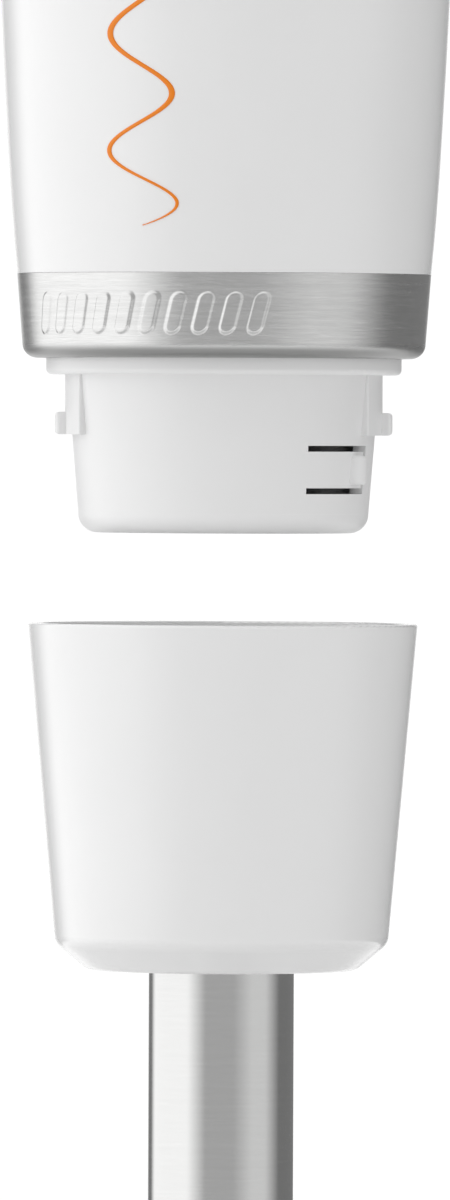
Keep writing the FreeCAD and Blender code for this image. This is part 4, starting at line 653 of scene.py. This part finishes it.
class HB_StageSettings(bpy.types.PropertyGroup):
    """Camera and light."""

    distance: bpy.props.FloatProperty(
        name="Distance", description="Camera to drive axis",
        default=2.2, unit="LENGTH")
    view_height: bpy.props.FloatProperty(
        name="Picture height", description="Height in view at the axis",
        default=0.1749, unit="LENGTH")
    level: bpy.props.FloatProperty(
        name="Camera level", description="Height of the camera",
        default=-0.010, unit="LENGTH")
    aim_height: bpy.props.FloatProperty(
        name="Aim height", description="Height at the picture's centre",
        default=-0.0352, unit="LENGTH")
    aim_side: bpy.props.FloatProperty(
        name="Aim side", description="Distance right of the axis at the centre",
        default=0.0002, unit="LENGTH")
    roll: bpy.props.FloatProperty(
        name="Roll", description="Camera roll",
        default=math.radians(-0.24), subtype="ANGLE")
    gain: bpy.props.FloatProperty(
        name="Light", description="Strength of the studio's light",
        default=1.50, min=0)
    top: bpy.props.FloatProperty(
        name="Top light", description="Level of the light from above",
        default=0.78, min=0)
    under: bpy.props.FloatProperty(
        name="Under light", description="Level of the light from below",
        default=0.42, min=0)
    floor_reach: bpy.props.FloatProperty(
        name="Floor", description="Radius of the floor's paper (mm)",
        default=600.0)


# ---- Pieces -------------------------------------------------------------------------------------
def dress(finish, *names):
    """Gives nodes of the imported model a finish."""
    for name in names:
        for slot in NODES[name].material_slots:
            slot.material = finish


class HB_OT_plastics(bpy.types.Operator):
    """Dresses the moulded plastic parts"""

    bl_idname = "hand_blender.plastics"
    bl_label = "Plastic Parts"

    def execute(self, context):
        s = context.scene.hb_finish
        ink, pale_ink = (0.22, 0.23, 0.25, 1), (0.95, 0.95, 0.95, 1)
        power_z, turbo_z = middle_mm("power_button", 2), middle_mm("turbo_button", 2)
        dress(moulded("gloss_white", s.white, s.gloss, 0.0025, 0.35),
              "handle_shell", "top_cap", "collar_shell")
        dress(moulded("satin_white", s.socket_white, 0.36, 0.012),
              "coupling_spigot", "socket_liner", "lower_bearing_carrier")
        power = moulded("power_button_white", shade(s.white, 0.95), 0.3, 0.01,
                        mark=lambda t, base, x, z: ring_mark(t, base, x, z, power_z, ink))
        turbo = moulded("turbo_button_orange", s.accent, 0.3, 0.01,
                        mark=lambda t, base, x, z: wave_mark(t, base, x, z, turbo_z, pale_ink))
        dress(power, "power_button")
        dress(turbo, "turbo_button")
        dress(moulded("dial_grey", shade(s.white, 0.78), 0.32, 0.012), "speed_dial")
        dress(moulded("black_nylon", (0.02, 0.02, 0.022), 0.45, 0.03),
              "lower_motor_bracket", "upper_motor_bracket", "cooling_fan")
        dress(moulded("natural_plastic", (0.62, 0.61, 0.57), 0.42, 0.02), "control_chassis", "cord_clamp")
        dress(moulded("black_acetal", (0.016, 0.016, 0.018), 0.34, 0.015), "motor_coupling", "leg_coupling")
        dress(moulded("black_component", (0.03, 0.03, 0.033), 0.5, 0.03),
              "power_switch", "turbo_switch", "power_plunger", "turbo_plunger", "potentiometer")
        dress(moulded("capacitor_blue", (0.05, 0.12, 0.36), 0.28, 0.02, 0.3), "suppression_capacitor")
        dress(moulded("red_insulation", (0.42, 0.03, 0.02), 0.4, 0.01), "motor_leads")
        dress(moulded("brush_carbon", (0.02, 0.02, 0.021), 0.6, 0.05), "carbon_brushes")
        return {"FINISHED"}


class HB_OT_rubbers(bpy.types.Operator):
    """Dresses the soft parts: grip pad, cord gland, mounts, gasket and seal"""

    bl_idname = "hand_blender.rubbers"
    bl_label = "Rubber Parts"

    def execute(self, context):
        s = context.scene.hb_finish
        dress(soft_rubber("grip_rubber", s.grip, 0.02, 2.6), "grip_pad")
        dress(soft_rubber("black_rubber", (0.018, 0.018, 0.019)),
              "cord_gland", "lower_motor_mount", "upper_motor_mount", "shaft_seal")
        dress(soft_rubber("grey_silicone", (0.42, 0.43, 0.43), 0.01), "socket_gasket")
        return {"FINISHED"}


class HB_OT_metals(bpy.types.Operator):
    """Dresses the steel, brass and copper parts"""

    bl_idname = "hand_blender.metals"
    bl_label = "Metal Parts"

    def execute(self, context):
        s = context.scene.hb_finish
        dress(turned_steel("satin_tube_steel", s.steel, s.tube_rough, 0.25, 0.05, 0.02), "leg_tube")
        dress(turned_steel("spun_bell_steel", s.steel, 0.24, 0.6, 0.06, 0.03), "bell_guard")
        dress(drawn_steel("blade_steel", (0.60, 0.60, 0.60), 0.2), "blade")
        dress(turned_steel("shaft_steel", (0.52, 0.52, 0.52), 0.22, 0.5, 0.2, 0.02),
              "drive_shaft", "rotor_shaft", "blade_spacer", "blade_nut", "thrust_washers", "tube_pins",
              "lower_motor_bearing", "upper_motor_bearing")
        dress(plated("zinc_plate", (0.55, 0.55, 0.52), 0.36),
              "cap_screws", "spigot_screws", "motor_screws", "board_screws", "brush_springs", "power_spring",
              "turbo_spring")
        dress(plated("folded_brass", (0.72, 0.53, 0.25), 0.34), "brush_holders", "dial_spindle")
        dress(plated("sintered_bronze", (0.42, 0.26, 0.13), 0.5), "upper_bush", "lower_bush")
        dress(plated("folded_aluminium", (0.70, 0.71, 0.72), 0.4), "speed_triac")
        dress(turned_steel("commutator_copper", (0.68, 0.36, 0.22), 0.3, 0.7, 0.3, 0.02), "commutator")
        dress(laminations("lamination_stack", (0.14, 0.14, 0.15)), "stator_core", "armature_core")
        dress(wound_wire("enamelled_copper", (0.42, 0.15, 0.05)), "field_coils", "armature_windings")
        dress(circuit("green_board", (0.02, 0.13, 0.06)), "control_board")
        return {"FINISHED"}


class HB_OT_steel_band(bpy.types.Operator):
    """Makes the brushed steel band with its embossed row of bars"""

    bl_idname = "hand_blender.steel_band"
    bl_label = "Steel Band"

    def execute(self, context):
        s, f = context.scene.hb_band, context.scene.hb_finish
        top_radius, _, top = box_mm("steel_band")[1]
        points, faces = band_surface(s, top_radius, top)
        # the band's corner also sets the height under which its colour is darkened with painted shade
        finish = turned_steel("brushed_band_steel", f.steel, f.band_rough, 1.0, 0.06, 0.13, s.corner)
        band = mesh_object("steel_band_embossed", points, faces, finish)
        band.data.set_sharp_from_angle(angle=math.radians(50))
        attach(band, "handle")
        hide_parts("steel_band")
        return {"FINISHED"}


def handle_radius(heights):
    """Outer radius of the handle at some heights, read between the rings of points of the shell's front."""
    mesh = NODES["handle_shell"].data
    points = np.empty(len(mesh.vertices) * 3)
    mesh.vertices.foreach_get("co", points)
    x, y, z = points.reshape(-1, 3).T / MM
    radius = np.hypot(x, y)
    outer = (y < 0) & (radius > BORE_LIMIT) & (z > PRINT_ZONE[0]) & (z < PRINT_ZONE[1])
    stations, ring = np.unique(np.round(z[outer], 1), return_inverse=True)
    widest = np.zeros(len(stations))
    np.maximum.at(widest, ring, radius[outer])
    # The skin widens nearly to the print's top, so a ring narrower than one below it is left out as part of
    # the bore. Above the last ring that stays, its radius is used.
    skin = widest > np.maximum.accumulate(widest) - 0.02
    return np.interp(heights, stations[skin], widest[skin])


def wavy_stroke(settings):
    """The stroke of the swash, wrapped on the handle: points in millimetres and faces.

    Laid out flat, its middle line swings by a sine whose waves grow longer and lower on the way up. At each
    step a thin six-sided section stands square to that line. Its width is full where the line climbs, less
    where it runs level, and falls off at both ends by a low power of a half sine. A distance to the side
    becomes an angle when it is divided by the radius of the layout.
    """
    s = settings
    t = np.linspace(0, 1, SWASH_STEPS)
    z = s.swash_bottom + (s.swash_top - s.swash_bottom) * t
    swing = s.swash_reach * np.sin(2 * math.pi * s.swash_waves * t ** 0.9) * (1 - 0.5 * t)
    middle = math.radians(s.swash_angle) * SWASH_RADIUS + swing
    side = np.gradient(middle, t)
    rise = np.gradient(z, t)
    length = np.hypot(side, rise)
    across = np.stack([rise / length, -side / length], 1)
    taper = np.sin(math.pi * np.clip(t, 0.003, 0.997)) ** 0.3
    width = s.stroke * (0.3 + 0.7 * np.abs(rise / length)) * taper
    section = np.array([[-0.5, 0.4], [-0.38, 1.0], [0.38, 1.0], [0.5, 0.4], [0.4, -1.0], [-0.4, -1.0]])
    along = middle[:, None] + across[:, 0:1] * width[:, None] * section[None, :, 0]
    height = z[:, None] + across[:, 1:2] * width[:, None] * section[None, :, 0]
    radius = handle_radius(height.ravel()).reshape(height.shape) + s.film * section[None, :, 1]
    points = around(radius, along / SWASH_RADIUS, height)
    count = len(section)
    last = (len(t) - 1) * count
    ends = [list(range(count))[::-1], list(range(last, last + count))]
    return points, loop_faces(len(t), count, False).tolist() + ends


class HB_OT_swash(bpy.types.Operator):
    """Prints a plain wavy stroke on the handle"""

    bl_idname = "hand_blender.swash"
    bl_label = "Printed Swash"

    def execute(self, context):
        s, f = context.scene.hb_print, context.scene.hb_finish
        points, faces = wavy_stroke(s)
        ink = moulded("orange_print", f.accent, 0.34, 0.004)
        swash = mesh_object("handle_swash", points, faces, ink)
        turn_outwards(swash)
        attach(swash, "handle")
        return {"FINISHED"}


def domes(centres, sizes, heights, rings=5, sides=20):
    """Round-topped buttons standing on a level surface: points and faces.

    One dome is a quarter wave: at share a of its size the height is cos(a * pi / 2); a short foot below the
    surface closes it. The same dome is carried to every centre by one array sum.
    """
    share = np.linspace(0, 1, rings + 1)[1:]
    turn = np.linspace(0, 2 * math.pi, sides, endpoint=False)
    ring = np.stack(np.broadcast_arrays(share[:, None] * np.cos(turn), share[:, None] * np.sin(turn),
                                        np.cos(share * math.pi / 2)[:, None]), -1).reshape(-1, 3)
    foot = ring[-sides:] * [1, 1, 0] - [0, 0, 0.3]
    one = np.concatenate([[[0, 0, 1.0]], ring, foot])
    scale = np.stack([sizes, sizes, heights], -1)
    points = centres[:, None, :] + one[None, :, :] * scale[:, None, :]
    body = loop_faces(rings + 1, sides, False) + 1
    fan = np.stack([np.zeros(sides, int), 1 + np.arange(sides), 1 + (np.arange(sides) + 1) % sides], 1)
    base = 1 + rings * sides + np.arange(sides)
    offsets = len(one) * np.arange(len(centres))
    faces = []
    for shape in (body, fan, base[None, ::-1]):
        faces += (shape[None, :, :] + offsets[:, None, None]).reshape(-1, shape.shape[1]).tolist()
    return points, faces


class HB_OT_dial_dots(bpy.types.Operator):
    """Makes the raised dots that grow round the speed dial"""

    bl_idname = "hand_blender.dial_dots"
    bl_label = "Dial Dots"

    def execute(self, context):
        s = context.scene.hb_print
        axis = [middle_mm("speed_dial", i) for i in (0, 1)]
        level = box_mm("top_cap")[1][2]
        turn = np.radians(np.linspace(-s.dot_span / 2, s.dot_span / 2, s.dots))
        centres = around(s.dot_circle, turn, level) + [*axis, 0]
        points, faces = domes(centres, np.linspace(0.45, 1.05, s.dots), np.full(s.dots, 0.25))
        dots = mesh_object("dial_dots", points, faces, moulded("dot_grey", (0.30, 0.31, 0.32), 0.35, 0.01))
        turn_outwards(dots)
        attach(dots, "handle")
        return {"FINISHED"}


def coil(start, end, middle, radius, wire, turns, steps=36, sides=10):
    """The skin of a helical spring along Y: points in millimetres and faces.

    The wire's middle line turns at an even rate as it runs from start to end, and a circle of the wire's
    radius is set round it in the plane of the spring's radius and axis. Flat faces close both ends.
    """
    share = np.linspace(0, 1, steps * turns + 1)[:, None]
    turn = 2 * math.pi * turns * share
    round_wire = np.linspace(0, 2 * math.pi, sides, endpoint=False)[None, :]
    reach = radius + wire * np.cos(round_wire)
    along = start + (end - start) * share + wire * np.sin(round_wire)
    points = np.stack([reach * np.cos(turn), along, middle + reach * np.sin(turn)], -1)
    faces = loop_faces(len(share), sides, False).tolist()
    last = (len(share) - 1) * sides
    return points, faces + [list(range(sides)), list(range(last, last + sides))]


class HB_OT_button_springs(bpy.types.Operator):
    """Makes the springs behind the two buttons"""

    bl_idname = "hand_blender.button_springs"
    bl_label = "Button Springs"

    def execute(self, context):
        s = context.scene.hb_print
        finish = plated("spring_wire", (0.58, 0.58, 0.57), 0.3)
        for name in ("power", "turbo"):
            low, high = box_mm(f"{name}_spring")
            middle = middle_mm(f"{name}_spring", 2)
            wire, radius = s.spring_wire, high[0] - s.spring_wire
            points, faces = coil(high[1] - wire, low[1] + wire, middle, radius, wire, s.spring_turns)
            spring = mesh_object(f"{name}_spring_coil", points, faces, finish)
            turn_outwards(spring)
            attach(spring, "handle")
            length = high[1] - low[1]
            keep = (length - s.button_travel) / length
            middle * MM
            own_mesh(spring)
            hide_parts(f"{name}_spring")
        return {"FINISHED"}


# ---- Stage --------------------------------------------------------------------------------------
# Panels round the blender: first and last direction in degrees from the front to the right, and light level.
PANELS = (
    (-180, -170, 0.7),      # pale backdrop
    (-160, -145, 0.15),     # dark flag, left
    (-130, -55, 0.9),       # large soft box, left
    (-25, 20, 0.35),        # open room in front
    (50, 75, 0.55),         # small soft box, right
    (105, 165, 0.15),       # dark flag, right
    (175, 180, 0.7),        # pale backdrop
)


def studio_world(settings):
    """Soft studio light: a large panel on the left, a small one on the right and a dark flag beside each.

    Each panel has one level, and the light changes evenly from the edge of a panel to the next one's. The
    light from above takes over from about 27 to 58 degrees up, and the light from below from about 12 to
    44 degrees down.
    """
    world = bpy.data.worlds.new("studio")
    world.use_nodes = True
    bpy.context.scene.world = world
    t = Tree(world.node_tree, "ShaderNodeOutputWorld")
    direction = t.add("ShaderNodeTexCoord", output="Generated")
    x, y, z = [t.add("ShaderNodeSeparateXYZ", None, {0: direction}, i) for i in range(3)]
    turn = x.turn_from(0 - y) / (2 * math.pi) + 0.5
    stops = [(edge / 360 + 0.5, level) for first, last, level in PANELS for edge in (first, last)]
    ring = t.add("ShaderNodeValToRGB", {"stops": stops}, {0: turn})
    over = z.rise(0.45, 0.85)
    under = 1 - z.rise(-0.7, -0.2)
    light = t.blend(over, ring, (settings.top,) * 3 + (1,))
    light = t.blend(under, light, (settings.under,) * 3 + (1,))
    lit = t.add("ShaderNodeBackground", None, {0: light, 1: settings.gain})
    plain = t.add("ShaderNodeBackground", None, {0: (1, 1, 1, 1), 1: BACKDROP_LEVEL})
    seen = t.add("ShaderNodeLightPath", output="Is Camera Ray")
    t.show(t.add("ShaderNodeMixShader", None, {0: seen, 1: lit, 2: plain}))


class HB_OT_stage(bpy.types.Operator):
    """Sets the floor, the studio light and the camera"""

    bl_idname = "hand_blender.stage"
    bl_label = "Stage"

    def execute(self, context):
        s = context.scene.hb_stage
        studio_world(s)
        context.scene.view_settings.view_transform = "Standard"
        floor_z = CAD_BOX[0][2] / MM - FLOOR_GAP
        turn = np.linspace(0, 2 * math.pi, FLOOR_SIDES, endpoint=False)
        disc = around(s.floor_reach, turn, floor_z)
        floor = mesh_object("floor", disc, [list(range(FLOOR_SIDES))], floor_paper(s.floor_reach), False)
        camera = bpy.data.cameras.new("camera")
        camera.lens = camera.sensor_width * s.distance / s.view_height
        camera.clip_start, camera.clip_end = 0.05, 60.0
        eye = bpy.data.objects.new("camera", camera)
        context.scene.collection.objects.link(eye)
        eye.location = (s.aim_side, -s.distance, s.level)
        tilt = math.atan2(s.aim_height - s.level, s.distance)
        eye.rotation_mode = "XYZ"
        eye.rotation_euler = (math.pi / 2 + tilt, s.roll, 0)
        context.scene.camera = eye
        return {"FINISHED"}


def floor_paper(reach):
    """Pale paper with a faint tooth. Towards its edge its colour is painted lighter and it glows a little,
    painted light that fades it into the backdrop.
    """

    def build(t):
        x, y, z = t.place()
        tooth = t.noise(t.point(x, y, z), 0.6, 3.0)
        away = (x * x + y * y).root()
        # painted light: lighter colour and a glow that grow with distance from the blender
        painted_edge_light = away.rise(reach * 0.25, reach * 0.9)
        base = t.blend(tooth, (0.72, 0.72, 0.72, 1), (0.76, 0.76, 0.76, 1))
        base = t.blend(painted_edge_light, base, (0.92, 0.92, 0.92, 1))
        glow = t.blend(painted_edge_light, (0, 0, 0, 1), (1, 1, 1, 1))
        return {"Base Color": base, "Roughness": 0.75 + 0.1 * tooth, "Emission Color": glow,
                "Emission Strength": 0.35, "Normal": t.relief(tooth, 0.05)}

    return material("pale_paper", build)


class HB_PT_panel(bpy.types.Panel):
    """Lists the steps in the sidebar"""

    bl_idname = "HB_PT_panel"
    bl_label = "Hand Blender"
    bl_space_type = "VIEW_3D"
    bl_region_type = "UI"
    bl_category = "Hand Blender"

    def draw(self, context):
        for group in GROUPS:
            box = self.layout.box()
            settings = getattr(context.scene, group)
            for name in settings.__annotations__:
                box.prop(settings, name)
        for step_class in STEPS:
            self.layout.operator(step_class.bl_idname)


GROUPS = {"hb_finish": HB_FinishSettings, "hb_band": HB_BandSettings, "hb_print": HB_PrintSettings,
          "hb_stage": HB_StageSettings}
STEPS = (HB_OT_plastics, HB_OT_rubbers, HB_OT_metals, HB_OT_steel_band, HB_OT_swash, HB_OT_dial_dots,
         HB_OT_button_springs, HB_OT_stage)


def register():
    for made in (*GROUPS.values(), *STEPS, HB_PT_panel):
        bpy.utils.register_class(made)
    for name, group in GROUPS.items():
        setattr(bpy.types.Scene, name, bpy.props.PointerProperty(type=group))


def unregister():
    for name in GROUPS:
        delattr(bpy.types.Scene, name)
    for made in reversed((*GROUPS.values(), *STEPS, HB_PT_panel)):
        bpy.utils.unregister_class(made)


def main():
    register()
    for made in STEPS:
        family, name = made.bl_idname.split(".")
        getattr(getattr(bpy.ops, family), name)()


if __name__ == "__main__":
    main()
